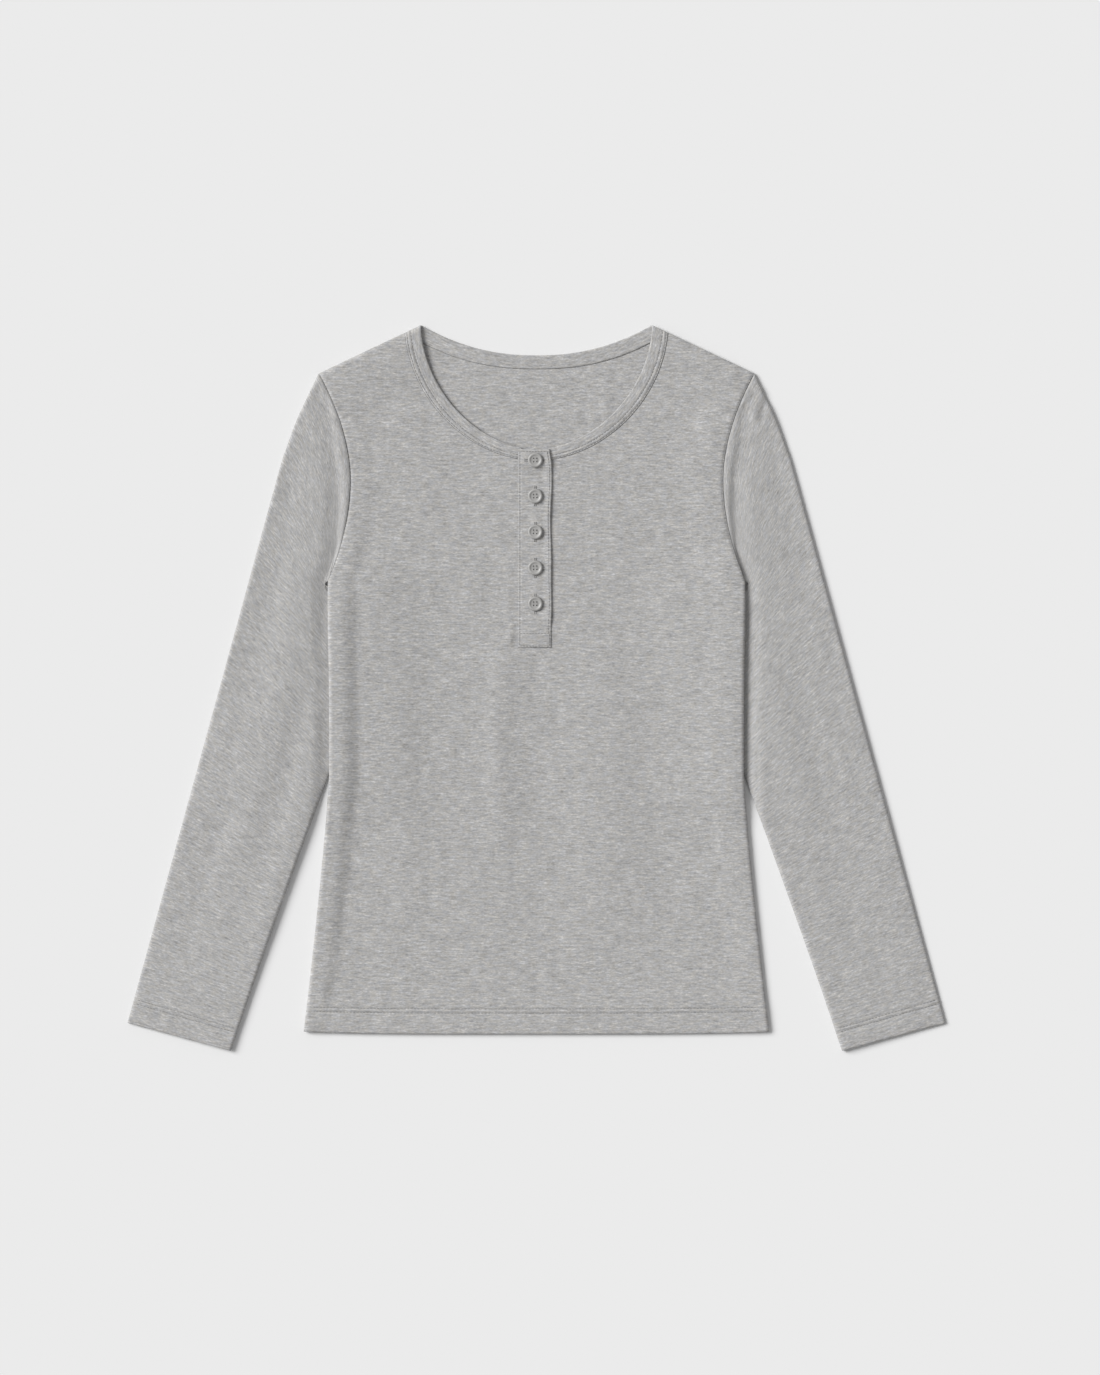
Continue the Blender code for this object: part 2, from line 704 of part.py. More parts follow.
def fold_section(edges, angle):
    """Section turned by an angle about the shoulder fold."""
    section = []
    for front_start, back_start, end, _, _ in edges:
        top = front_flat(*front_start) + BAND_PROUD
        bottom = FLOOR_MID + (BAND_WALL - WALL) / 2
        start = front_start if angle < pi / 2 else back_start
        away = (Vector(end) - Vector(start)).normalized()
        tip = Vector(end) - away * BAND_WALL / 2
        place = Vector(start).lerp(tip, sin(angle))
        z = (top + bottom) / 2 + (top - bottom) / 2 * cos(angle)
        out = Vector((away.x * sin(angle), away.y * sin(angle), cos(angle))) * BAND_WALL / 2
        middle = Vector((place.x, place.y, z))
        section.append((tuple(middle + out), tuple(middle - out)))
    return section


def make_neckband(material):
    half = band_stations()
    right = beyond(half, SLIT_RIGHT + SEAM_GAP)
    left = beyond(half[:-1], SEAM_GAP - SLIT_LEFT)
    sections = right + [flip(section) for section in reversed(left)]
    vertices = []
    for (inner_top, inner_low), (outer_top, outer_low) in sections:
        vertices += [inner_top, outer_top, outer_low, inner_low]
    faces = [(0, 1, 2, 3)]
    for k in range(len(sections) - 1):
        for i in range(4):
            j = (i + 1) % 4
            faces.append((4 * k + i, 4 * k + 4 + i, 4 * k + 4 + j, 4 * k + j))
    last = 4 * (len(sections) - 1)
    faces.append((last + 3, last + 2, last + 1, last))
    return add_object("neck_binding", vertices, faces, material)


def beyond(sections, x):
    """Sections beyond a place across the front, with the binding cut off straight there."""
    first = 1
    while min(pair[0][0] for pair in sections[first]) < x + BAND_WALL:
        first += 1
    cut = []
    for (top_a, low_a), (top_b, low_b) in zip(sections[first - 1], sections[first]):
        t = (x - top_a[0]) / (top_b[0] - top_a[0])
        cut.append((blend(top_a, top_b, t), blend(low_a, low_b, t)))
    return [cut] + sections[first:]


def flip(section):
    return [tuple((-p[0], p[1], p[2]) for p in pair) for pair in section]


# ---------------------------------------------------------------- placket

def placket_height(y):
    """Middle of the front beside the placket, level across it."""
    return front_flat(SLIT_RIGHT, min(y, neck_height(0.0) - 2))


def strip(name, left, right, rows, low, high, material):
    """Flat strip of cloth across the placket: rows of heights with a bottom and a top surface."""
    vertices, faces = [], []
    for y in rows:
        for x, z in ((left, high(y)), (right, high(y)), (right, low(y)), (left, low(y))):
            vertices.append((x, y, z))
    faces.append((0, 1, 2, 3))
    for k in range(len(rows) - 1):
        for i in range(4):
            j = (i + 1) % 4
            faces.append((4 * k + i, 4 * k + 4 + i, 4 * k + 4 + j, 4 * k + j))
    last = 4 * (len(rows) - 1)
    faces.append((last + 3, last + 2, last + 1, last))
    return add_object(name, vertices, faces, material)


def top_layer_low(y):
    climb = PLACKET_STEP * smooth((y - PLACKET_STEP_Y) / 5)
    return placket_height(y) + WALL / 2 + SEAM_GAP + 0.1 + climb


def make_plackets(material):
    low = SLIT_BOTTOM + SEAM_GAP
    rows = [low + (PLACKET_TOP - 1.5 - low) * k / 9 for k in range(10)]
    under = strip("placket_under", SLIT_LEFT + SEAM_GAP, SLIT_RIGHT - SEAM_GAP, rows,
                  lambda y: placket_height(y) - PLACKET_WALL + WALL / 2,
                  lambda y: placket_height(y) + WALL / 2, material)
    rows = [PLACKET_BOTTOM + (PLACKET_STEP_Y - PLACKET_BOTTOM) * k / 9 for k in range(10)]
    rows += [PLACKET_STEP_Y + 2.5, PLACKET_STEP_Y + 5, PLACKET_TOP]
    top = strip("placket_top", PLACKET_LEFT, PLACKET_RIGHT, rows, top_layer_low,
                lambda y: top_layer_low(y) + PLACKET_WALL, material)
    return under, top


# ---------------------------------------------------------------- buttons

def make_button(index, material):
    y = BUTTON_TOP_Y - BUTTON_PITCH * index
    name = "button_%d" % (index + 1)
    base = top_layer_low(y) + PLACKET_WALL + SEAM_GAP
    vertices, faces = [], []
    for row in BUTTON_PROFILE:
        for k in range(BUTTON_SEGMENTS):
            angle = 2 * pi * k / BUTTON_SEGMENTS
            radius = BUTTON_RADIUS * row["radius"]
            vertices.append((radius * cos(angle), radius * sin(angle), BUTTON_THICKNESS * row["height"]))
    for r in range(len(BUTTON_PROFILE) - 1):
        for k in range(BUTTON_SEGMENTS):
            j = (k + 1) % BUTTON_SEGMENTS
            a, b = r * BUTTON_SEGMENTS, (r + 1) * BUTTON_SEGMENTS
            faces.append((a + k, a + j, b + j, b + k))
    faces.append(tuple(reversed(range(BUTTON_SEGMENTS))))
    top = (len(BUTTON_PROFILE) - 1) * BUTTON_SEGMENTS
    faces.append(tuple(range(top, top + BUTTON_SEGMENTS)))
    button = add_object(name, vertices, faces, material)
    button.location = (BUTTON_X * MM, y * MM, base * MM)
    cutter = hole_cutter(name + "_holes", button.location)
    cut = button.modifiers.new("holes", "BOOLEAN")
    cut.object = cutter
    cut.operation = "DIFFERENCE"
    return button


def hole_cutter(name, location):
    """Four round holes in a square."""
    shell = bmesh.new()
    for sx in (-1, 1):
        for sy in (-1, 1):
            made = bmesh.ops.create_cone(shell, cap_ends=True, segments=8, radius1=HOLE_RADIUS * MM,
                                         radius2=HOLE_RADIUS * MM, depth=4 * BUTTON_THICKNESS * MM)
            bmesh.ops.translate(shell, verts=made["verts"],
                                vec=(sx * HOLE_OFFSET * MM, sy * HOLE_OFFSET * MM, 0))
    mesh = bpy.data.meshes.new(name)
    shell.to_mesh(mesh)
    shell.free()
    cutter = bpy.data.objects.new(name, mesh)
    cutter.location = location
    cutter.hide_render = True
    cutter.display_type = "WIRE"
    bpy.context.scene.collection.objects.link(cutter)
    return cutter


# ---------------------------------------------------------------- materials and assembly

def make_material(name, colour, roughness):
    material = bpy.data.materials.new(name)
    material.use_nodes = True
    shader = material.node_tree.nodes["Principled BSDF"]
    shader.inputs["Base Color"].default_value = colour
    shader.inputs["Roughness"].default_value = roughness
    shader.inputs["Metallic"].default_value = 0.0
    return material


def fabric(name):
    return make_material(name + "_knit", FABRIC_GREY, 0.95)


def main():
    for item in list(bpy.data.objects):
        bpy.data.objects.remove(item, do_unlink=True)
    make_back(fabric("back"))
    make_front(fabric("front"))
    make_sleeve("sleeve_right", 1, fabric("sleeve_right"))
    make_sleeve("sleeve_left", -1, fabric("sleeve_left"))
    make_neckband(fabric("binding"))
    make_plackets(fabric("placket"))
    for index in range(BUTTON_COUNT):
        make_button(index, make_material("button_%d" % (index + 1), BUTTON_GREY, 0.35))


main()
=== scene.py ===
"""The looks of a long-sleeve henley shirt that lies flat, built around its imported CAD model.

Lengths are millimetres until a mesh is made. X runs across the shirt, Y from hem to neck, Z up.
"""
from math import atan2, cos, pi, radians, sin, sqrt, tan

import bmesh
import bpy
import numpy as np
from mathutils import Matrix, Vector
from mathutils.geometry import delaunay_2d_cdt


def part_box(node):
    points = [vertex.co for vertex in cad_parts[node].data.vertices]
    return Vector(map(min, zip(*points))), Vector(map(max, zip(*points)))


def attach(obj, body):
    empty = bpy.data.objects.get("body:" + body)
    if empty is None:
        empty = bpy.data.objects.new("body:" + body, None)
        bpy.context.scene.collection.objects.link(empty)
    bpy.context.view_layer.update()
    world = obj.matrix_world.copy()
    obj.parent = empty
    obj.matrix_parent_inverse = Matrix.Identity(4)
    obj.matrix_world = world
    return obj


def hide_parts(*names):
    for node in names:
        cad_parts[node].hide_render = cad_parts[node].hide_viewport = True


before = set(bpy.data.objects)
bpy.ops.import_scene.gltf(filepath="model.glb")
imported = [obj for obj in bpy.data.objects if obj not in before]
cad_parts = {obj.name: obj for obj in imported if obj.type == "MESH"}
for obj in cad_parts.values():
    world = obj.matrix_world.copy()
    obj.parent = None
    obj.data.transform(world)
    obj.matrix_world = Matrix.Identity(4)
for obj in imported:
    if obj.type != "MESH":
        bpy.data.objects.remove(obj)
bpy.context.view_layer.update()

MM = 0.001


def node_box(name):
    """Lowest and highest corner of a CAD node, in millimetres."""
    low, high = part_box(name)
    return [c / MM for c in low], [c / MM for c in high]


# Body outline, half widths and heights
FRONT_LOW, FRONT_HIGH = node_box("front_panel")
SLEEVE_LOW, SLEEVE_HIGH = node_box("sleeve_right")
BAND_LOW, BAND_HIGH = node_box("neck_binding")
HEM_Y = FRONT_LOW[1]
NECK_POINT_Y = BAND_HIGH[1]
SHOULDER_Y = SLEEVE_HIGH[1]
NECK_HALF = 99.3
SHOULDER_HALF = 187.0
ARM_NARROW_Y = 179.0
FRONT_NARROW = 160.0
BACK_NARROW = 165.0
UNDERARM_Y = 92.0
SIDE_FULLNESS = 1.2
WAIST_Y = -75.0
WAIST_HALF = 178.3
HEM_FLARE = 22.1
HEM_CORNER_RISE = 2.0
HEM_DEPTH = 21.5

# Neckline
FRONT_NECK_DEPTH = 106.6
FRONT_NECK_POWER = 1.85
BAND_HALF = 113.5
FRONT_BAND_DEPTH = 116.8
FRONT_BAND_POWER = 1.9
BACK_NECK_DEPTH = 26.0
BACK_NECK_POWER = 2.2
BACK_BAND_DEPTH = 38.0
BACK_BAND_POWER = 2.3
BAND_WALL = 2.0

# Cloth
WALL = 1.0
SEAM_GAP = 0.3
HEM_TURN = 0.9
ROLL_REACH = 3.2
LAYER_STEP = WALL + SEAM_GAP
FLOOR_MID = WALL / 2
SIDE_LIFT = 3.0

# Sleeve outline
SLEEVE_OUTER = ((187.0, 270.5), (198.0, 247.7), (206.6, 229.0), (215.4, 205.0), (223.4, 179.0))
SLEEVE_INNER = ((178.9, 92.0), (180.6, 84.0), (171.0, 50.0), (156.5, 8.0), (160.5, -25.0),
                (178.4, -75.0), (202.1, -139.3), (239.0, -242.5))
CUFF_OUTER = (351.7, -288.0)
CUFF_INNER = (262.6, -312.0)

# Placket
SLIT_LEFT, SLIT_RIGHT, SLIT_BOTTOM = -13.0, 9.5, 46.0

CELL = 3.2                  # spacing of the points in a panel


# ---------------------------------------------------------------- small functions

def smooth(t):
    t = np.clip(t, 0.0, 1.0)
    return t * t * (3.0 - 2.0 * t)


def round_edge(distance, reach=ROLL_REACH):
    t = np.clip(distance / reach, 0.0, 1.0)
    return np.sqrt(np.maximum(1.0 - (1.0 - t) ** 2, 0.0))


def bell(distance, width):
    return np.exp(-(distance / width) ** 2)


def table(y, *rows):
    """Smooth curve through (y, value) rows, lowest y first."""
    ys, values = zip(*rows)
    k = np.clip(np.searchsorted(ys, y) - 1, 0, len(ys) - 2)
    low, high = np.take(ys, k), np.take(ys, k + 1)
    t = smooth((y - low) / (high - low))
    return np.take(values, k) * (1 - t) + np.take(values, k + 1) * t


def dense_path(points, steps=24):
    """Catmull-Rom curve through points, with the length along it."""
    p = np.array([points[0]] + list(points) + [points[-1]], float)
    t = np.linspace(0, 1, steps, endpoint=False)[:, None]
    parts = []
    for a, b, c, d in zip(p, p[1:], p[2:], p[3:]):
        parts.append(0.5 * (2 * b + (c - a) * t + (2 * a - 5 * b + 4 * c - d) * t ** 2
                            + (3 * b - a - 3 * c + d) * t ** 3))
    curve = np.vstack(parts + [p[-1:]])
    along = np.concatenate([[0], np.cumsum(np.hypot(*np.diff(curve, axis=0).T))])
    return curve, along


def at_fraction(path, t):
    curve, along = path
    s = np.asarray(t) * along[-1]
    return np.stack([np.interp(s, along, curve[:, i]) for i in (0, 1)], -1)


# ---------------------------------------------------------------- outlines

def side_half(y):
    below = np.clip((WAIST_Y - y) / (WAIST_Y - HEM_Y), 0.0, None)
    return WAIST_HALF + HEM_FLARE * below ** 1.2 + SIDE_FULLNESS * bell(y - 70.0, 45.0)


def armhole_half(y, narrow):
    above = np.clip((y - ARM_NARROW_Y) / (SHOULDER_Y - ARM_NARROW_Y), 0.0, 1.0)
    below = np.clip((ARM_NARROW_Y - y) / (ARM_NARROW_Y - UNDERARM_Y), 0.0, 1.0)
    reach = side_half(np.float64(UNDERARM_Y)) - narrow
    return narrow + (SHOULDER_HALF - narrow) * above ** 1.85 + reach * below ** 1.95


def body_half(y, narrow=FRONT_NARROW):
    return np.where(y < UNDERARM_Y, side_half(y), armhole_half(y, narrow))


def hem_line(x):
    return HEM_Y + HEM_CORNER_RISE * (np.abs(x) / side_half(np.float64(HEM_Y))) ** 4


SHOULDER_SLOPE = (NECK_POINT_Y - SHOULDER_Y) / (SHOULDER_HALF - NECK_HALF)


def shoulder_line(x):
    return NECK_POINT_Y - (np.abs(x) - NECK_HALF) * SHOULDER_SLOPE


def shoulder_distance(x, y):
    return (shoulder_line(x) - y) / sqrt(1.0 + SHOULDER_SLOPE ** 2)


def neck_curve(t, half, depth, power, end=pi / 2):
    angle = np.asarray(t) * end
    x = half * np.sin(angle) ** (2 / power)
    return np.stack([x, NECK_POINT_Y - depth * np.maximum(np.cos(angle), 0.0) ** (2 / power)], -1)


def band_end(inset=0.0):
    """Angle where the neckband's outer edge reaches the shoulder line."""
    low, high = pi / 4, pi / 2
    for _ in range(40):
        middle = (low + high) / 2
        x, y = neck_curve(1.0, BAND_HALF - inset, FRONT_BAND_DEPTH - inset, FRONT_BAND_POWER, middle)
        low, high = (middle, high) if y < shoulder_line(x) else (low, middle)
    return low


def front_inner(t):
    return neck_curve(t, NECK_HALF, FRONT_NECK_DEPTH, FRONT_NECK_POWER)


def front_outer(t, inset=0.0):
    return neck_curve(t, BAND_HALF - inset, FRONT_BAND_DEPTH - inset, FRONT_BAND_POWER, band_end(inset))


def back_inner(t):
    t = np.asarray(t)
    return np.stack([NECK_HALF * t, NECK_POINT_Y - BACK_NECK_DEPTH * (1 - t ** BACK_NECK_POWER)], -1)


def back_outer(t, inset=0.0):
    t = np.asarray(t)
    end = front_outer(1.0, inset)
    bottom = NECK_POINT_Y - BACK_BAND_DEPTH + inset
    return np.stack([end[0] * t, bottom + (end[1] - bottom) * t ** BACK_BAND_POWER], -1)


def neck_height(x):
    t = np.clip(np.abs(x) / BAND_HALF, 0.0, 1.0)
    return NECK_POINT_Y - FRONT_BAND_DEPTH * (1 - t ** FRONT_BAND_POWER) ** (1 / FRONT_BAND_POWER)


# ---------------------------------------------------------------- folds placed one by one

# Soft ridges (+) and troughs (-) of the front: route, half width and height.
FRONT_FOLDS = (
    {"route": ((-23, 52), (-31, 8), (-34, -42), (-31, -96), (-29, -160)), "width": 11, "height": 1.3},
    {"route": ((2, 20), (4, -60), (6, -160), (4, -260)), "width": 26, "height": -0.8},
    {"route": ((58, 60), (62, -40), (60, -150), (56, -240)), "width": 26, "height": 0.9},
    {"route": ((112, 10), (118, -70), (112, -160), (104, -215)), "width": 24, "height": -1.1},
    {"route": ((-120, 20), (-118, -70), (-112, -150), (-128, -240)), "width": 17, "height": 0.7},
    {"route": ((-20, 55), (-22.5, 43), (-22.5, 34)), "width": 3.2, "height": 1.1},
    {"route": ((-17.5, 56), (-19.0, 42), (-18.5, 30)), "width": 2.2, "height": -0.9},
    {"route": ((-120, 240), (-105, 190), (-88, 150)), "width": 22, "height": 0.5},
    {"route": ((135, 235), (128, 180), (132, 120)), "width": 24, "height": 0.6},
    {"route": ((-60, -215), (0, -238), (70, -222)), "width": 20, "height": 0.4},
    {"route": ((60, 170), (72, 130), (70, 90)), "width": 18, "height": 0.35},
)
# Height of the puffed left edge along the body, as (y, height).
LEFT_EDGE = ((-297, 1.9), (-240, 2.7), (-180, 3.7), (-100, 4.2), (0, 4.2), (60, 3.6), (110, 2.6), (160, 1.5),
             (270, 1.5))
RIGHT_EDGE = ((-297, 1.9), (-200, 2.0), (-100, 2.5), (60, 2.9), (270, 2.6))


def folds(x, y, rows):
    """Sum of the ridges and troughs, fading out at both ends of each route."""
    total = np.zeros_like(x)
    for row in rows:
        curve, along = dense_path(row["route"], 8)
        best = np.full(x.shape, 1e9)
        place = np.zeros_like(x)
        for a, b, s in zip(curve, curve[1:], along):
            step = b - a
            t = np.clip(((x - a[0]) * step[0] + (y - a[1]) * step[1]) / (step @ step), 0, 1)
            distance = np.hypot(x - a[0] - step[0] * t, y - a[1] - step[1] * t)
            nearer = distance < best
            best = np.where(nearer, distance, best)
            place = np.where(nearer, s + t * np.hypot(*step), place)
        fade = smooth(place / along[-1] * 4 + 0.25) * smooth((1 - place / along[-1]) * 3 + 0.1)
        total += row["height"] * fade * bell(best, row["width"])
    return total


# ---------------------------------------------------------------- heights of the layers

def side_lift(y):
    return SIDE_LIFT * smooth((y + 125.0) / 40.0) * (1 - smooth((y - UNDERARM_Y) / 38.0))


def back_flat(x, y):
    return FLOOR_MID + side_lift(y) * smooth((np.abs(x) - 126.0) / 22.0)


def puff(x, y):
    inside = np.maximum(body_half(y) - np.abs(x), 0.0)
    below = np.maximum(shoulder_distance(x, y), 0.0)
    left = table(y, *LEFT_EDGE) * (1 - smooth((inside - 11) / 19))
    right = table(y, *RIGHT_EDGE) * (1 - smooth((inside - 9) / 40))
    side = np.where(x < 0, left, right)
    shoulder = 2.9 * (1 - smooth((below - 6) / 60))
    hem = 1.6 * (1 - smooth((y - HEM_Y - HEM_DEPTH) / 26))
    total = (0.8 ** 3 + side ** 3 + shoulder ** 3 + hem ** 3) ** (1 / 3)
    for px, py in ((side_half(np.float64(UNDERARM_Y)), UNDERARM_Y), (SHOULDER_HALF, SHOULDER_Y)):
        total = total * (1.0 - 0.45 * bell(np.hypot(np.abs(x) - px, y - py), 16.0))
    return total


def front_flat(x, y):
    wide = FLOOR_MID + side_lift(y) * smooth((np.abs(x) - 80.0) / 68.0)
    height = wide + LAYER_STEP + puff(x, y) + folds(x, y, FRONT_FOLDS)
    return np.maximum(height, back_flat(x, y) + LAYER_STEP)


def edge_rise(x, y, narrow):
    side = round_edge(body_half(y, narrow) - np.abs(x))
    side = 1.0 - (1.0 - side) * (1.0 - smooth((y - UNDERARM_Y) / 8.0))
    return np.where(np.abs(x) < NECK_HALF, side, side * round_edge(shoulder_distance(x, y)))


def seam_dip(distance):
    """A sewn edge sinks into its seam."""
    return 0.7 * bell(distance, 1.3)


HEM_NEEDLES = (18.0, 21.6)


def stitched_hem(distance):
    """Relief of a twin-needle hem, by distance above the edge: two grooves and a ridge between."""
    grooves = bell(distance - HEM_NEEDLES[0], 0.7) + bell(distance - HEM_NEEDLES[1], 0.7)
    return 0.3 * bell(distance - sum(HEM_NEEDLES) / 2, 1.0) - 0.38 * grooves


def front_surfaces(x, y):
    """Outer and inner height of the front."""
    low, high = back_flat(x, y), front_flat(x, y)
    rise = edge_rise(x, y, FRONT_NARROW)
    hem = round_edge(y - hem_line(x), 1.6)
    seam = (low + high) / 2 + SEAM_GAP / 2
    top = high + WALL / 2
    armhole = np.where(y > UNDERARM_Y, body_half(y) - np.abs(x), 99.0)
    top = top - seam_dip(armhole) + stitched_hem(y - hem_line(x))
    outer = seam + (top - seam) * rise
    turned = HEM_TURN * (y < HEM_Y + HEM_DEPTH - 1)
    wall = (WALL + turned) * (0.08 + 0.92 * rise)
    outer = outer - wall / 2 * (1 - hem)
    return outer, outer - wall * (0.06 + 0.94 * hem)


def back_surfaces(x, y):
    """Inner (upper) and outer (lower) height of the back."""
    low, high = back_flat(x, y), front_flat(x, y)
    rise = edge_rise(x, y, BACK_NARROW)
    hem = round_edge(y - hem_line(x), 1.6)
    seam = (low + high) / 2 - SEAM_GAP / 2
    drop = 0.3 * smooth((y - UNDERARM_Y + 11) / 9) * bell(np.abs(x) - body_half(y), 12.0)
    bottom = seam + (low - WALL / 2 - seam) * rise - drop * (1 - rise)
    turned = HEM_TURN * (y < HEM_Y + HEM_DEPTH - 1)
    wall = (WALL + turned) * (0.08 + 0.92 * rise)
    bottom = bottom + wall / 2 * (1 - hem)
    return bottom + wall * (0.06 + 0.94 * hem), bottom


# ---------------------------------------------------------------- mesh helpers

def finish_mesh(name, vertices, faces, material, uv=None, flip=False):
    """Object from millimetre vertices, smooth shaded, riding on the only body."""
    mesh = bpy.data.meshes.new(name)
    faces = [tuple(int(k) for k in f) for f in faces]
    mesh.from_pydata((np.asarray(vertices, float) * MM).tolist(), [], faces)
    if uv is not None:
        layer = mesh.uv_layers.new(name="grain")
        index = np.empty(len(mesh.loops), int)
        mesh.loops.foreach_get("vertex_index", index)
        layer.data.foreach_set("uv", np.asarray(uv, float)[index].ravel())
    shell = bmesh.new()
    shell.from_mesh(mesh)
    bmesh.ops.recalc_face_normals(shell, faces=shell.faces)
    shell.to_mesh(mesh)
    shell.free()
    mesh.materials.append(material)
    mesh.shade_smooth()
    mesh.set_sharp_from_angle(angle=radians(60))
    piece = bpy.data.objects.new(name, mesh)
    bpy.context.scene.collection.objects.link(piece)
    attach(piece, "root")
    return piece


def inside_outline(p, outline):
    inside = np.zeros(len(p), bool)
    for a, b in zip(outline, np.roll(outline, -1, axis=0)):
        if a[1] == b[1]:
            continue
        crosses = (a[1] > p[:, 1]) != (b[1] > p[:, 1])
        inside ^= crosses & (p[:, 0] < a[0] + (b[0] - a[0]) * (p[:, 1] - a[1]) / (b[1] - a[1]))
    return inside


def outline_distance(p, outline):
    best = np.full(len(p), 1e9)
    for a, b in zip(outline, np.roll(outline, -1, axis=0)):
        step = b - a
        t = np.clip(((p - a) @ step) / (step @ step), 0, 1)
        best = np.minimum(best, np.hypot(*(p - a - t[:, None] * step).T))
    return best


EDGE_ROWS = (0.2, 0.6, 1.1, 1.8, 2.6, 3.6, 5.2)


def evenly(curve, spacing):
    along = np.concatenate([[0], np.cumsum(np.hypot(*np.diff(curve, axis=0).T))])
    s = np.linspace(0, along[-1], max(int(round(along[-1] / spacing)), 1) + 1)
    return np.stack([np.interp(s, along, curve[:, i]) for i in (0, 1)], -1)


def panel_mesh(name, curves, surfaces, material):
    """Closed cloth wall over an outline that is given as curves end to end."""
    outline = np.vstack([evenly(c, CELL)[:-1] for c in curves])
    step = np.roll(outline, -1, axis=0) - np.roll(outline, 1, axis=0)
    normal = np.stack([-step[:, 1], step[:, 0]], -1) / np.hypot(*step.T)[:, None]
    points = [outline]
    for row in EDGE_ROWS:
        moved = outline + normal * row
        keep = inside_outline(moved, outline) & (outline_distance(moved, outline) > row * 0.93)
        points.append(moved[keep])
    low, high = outline.min(0), outline.max(0)
    rows = np.arange(low[1], high[1], CELL * sqrt(0.75))
    grid = np.array([(x + CELL / 2 * (j % 2), y) for j, y in enumerate(rows)
                     for x in np.arange(low[0], high[0], CELL)])
    hem_rows = np.array([(x, HEM_Y + y) for y in np.arange(16.4, 23.6, 0.6)
                         for x in np.arange(low[0], high[0], CELL)])
    grid = grid[(grid[:, 1] < HEM_Y + 15) | (grid[:, 1] > HEM_Y + 25)]
    grid = np.vstack([grid, hem_rows])
    grid = grid[inside_outline(grid, outline)]
    points.append(grid[outline_distance(grid, outline) > EDGE_ROWS[-1] + 1.4])
    points = np.vstack(points)
    count = len(outline)
    edges = [(k, (k + 1) % count) for k in range(count)]
    flat = delaunay_2d_cdt([Vector(p) for p in points], edges, [], 1, 1e-5)
    plan = np.array([tuple(v) for v in flat[0]])
    triangles = [tuple(f) for f in flat[2]]
    top, bottom = surfaces(plan[:, 0], plan[:, 1])
    n = len(plan)
    vertices = np.vstack([np.column_stack([plan, top]), np.column_stack([plan, bottom])])
    directed = {(a, b) for f in triangles for a, b in zip(f, f[1:] + f[:1])}
    rim = [(b, a, a + n, b + n) for a, b in directed if (b, a) not in directed]
    faces = triangles + [tuple(k + n for k in reversed(f)) for f in triangles] + rim
    return finish_mesh(name, vertices, faces, material, np.vstack([plan, plan]) / 100.0)


def mirror_curve(curve):
    return curve[::-1] * np.array([-1, 1])


def ring_mesh(name, loops, uvs, material, closed_ends=True):
    """Skin over loops of points with the same count, capped or joined last to first."""
    count = len(loops[0])
    faces = []
    for k in range(len(loops) - (1 if closed_ends else 0)):
        n = (k + 1) % len(loops)
        for i in range(count):
            j = (i + 1) % count
            faces.append((k * count + i, k * count + j, n * count + j, n * count + i))
    if closed_ends:
        faces.append(tuple(range(count)))
        faces.append(tuple(reversed(range((len(loops) - 1) * count, len(loops) * count))))
    return finish_mesh(name, np.vstack(loops), faces, material, np.vstack(uvs))


# ---------------------------------------------------------------- body panels

def right_edge(narrow):
    """Side and armhole of the right half, hem to shoulder point."""
    side = np.linspace(HEM_Y + HEM_CORNER_RISE, UNDERARM_Y, 120)
    arm = np.linspace(UNDERARM_Y, SHOULDER_Y, 80)
    return [np.column_stack([side_half(side), side]), np.column_stack([armhole_half(arm, narrow), arm])]


def hem_curve():
    x = np.linspace(-1, 1, 200) * side_half(np.float64(HEM_Y + HEM_CORNER_RISE))
    return np.column_stack([x, hem_line(x)])


def shoulder_curve():
    return np.array([(SHOULDER_HALF, SHOULDER_Y), tuple(front_outer(1.0))])


def make_back(material):
    neck = back_outer(np.linspace(1, 0, 60))
    half = right_edge(BACK_NARROW) + [shoulder_curve(), neck]
    curves = [hem_curve()] + half + [mirror_curve(c) for c in reversed(half)]
    return panel_mesh("back_cloth", curves, back_surfaces, material)


def make_front(material):
    neck = front_outer(np.linspace(1, 0, 200))
    right_neck = np.vstack([neck[neck[:, 0] > SLIT_RIGHT + 0.5], [(SLIT_RIGHT, neck_height(SLIT_RIGHT))]])
    left_neck = np.vstack([neck[neck[:, 0] > -SLIT_LEFT + 0.5], [(-SLIT_LEFT, neck_height(SLIT_LEFT))]])
    slit = [np.array([right_neck[-1], (SLIT_RIGHT, SLIT_BOTTOM)]),
            np.array([(SLIT_RIGHT, SLIT_BOTTOM), (SLIT_LEFT, SLIT_BOTTOM)]),
            np.array([(SLIT_LEFT, SLIT_BOTTOM), (SLIT_LEFT, neck_height(SLIT_LEFT))])]
    half = right_edge(FRONT_NARROW) + [shoulder_curve()]
    curves = [hem_curve()] + half + [right_neck] + slit + [mirror_curve(left_neck)]
    curves += [mirror_curve(c) for c in reversed(half)]
    return panel_mesh("front_cloth", curves, front_surfaces, material)


# ---------------------------------------------------------------- sleeves

OUTER_PATH = dense_path(SLEEVE_OUTER + tuple(
    tuple(np.array(SLEEVE_OUTER[-1]) + (np.array(CUFF_OUTER) - SLEEVE_OUTER[-1]) * k / 3) for k in (1, 2, 3)))
INNER_PATH = dense_path(SLEEVE_INNER + (CUFF_INNER,))

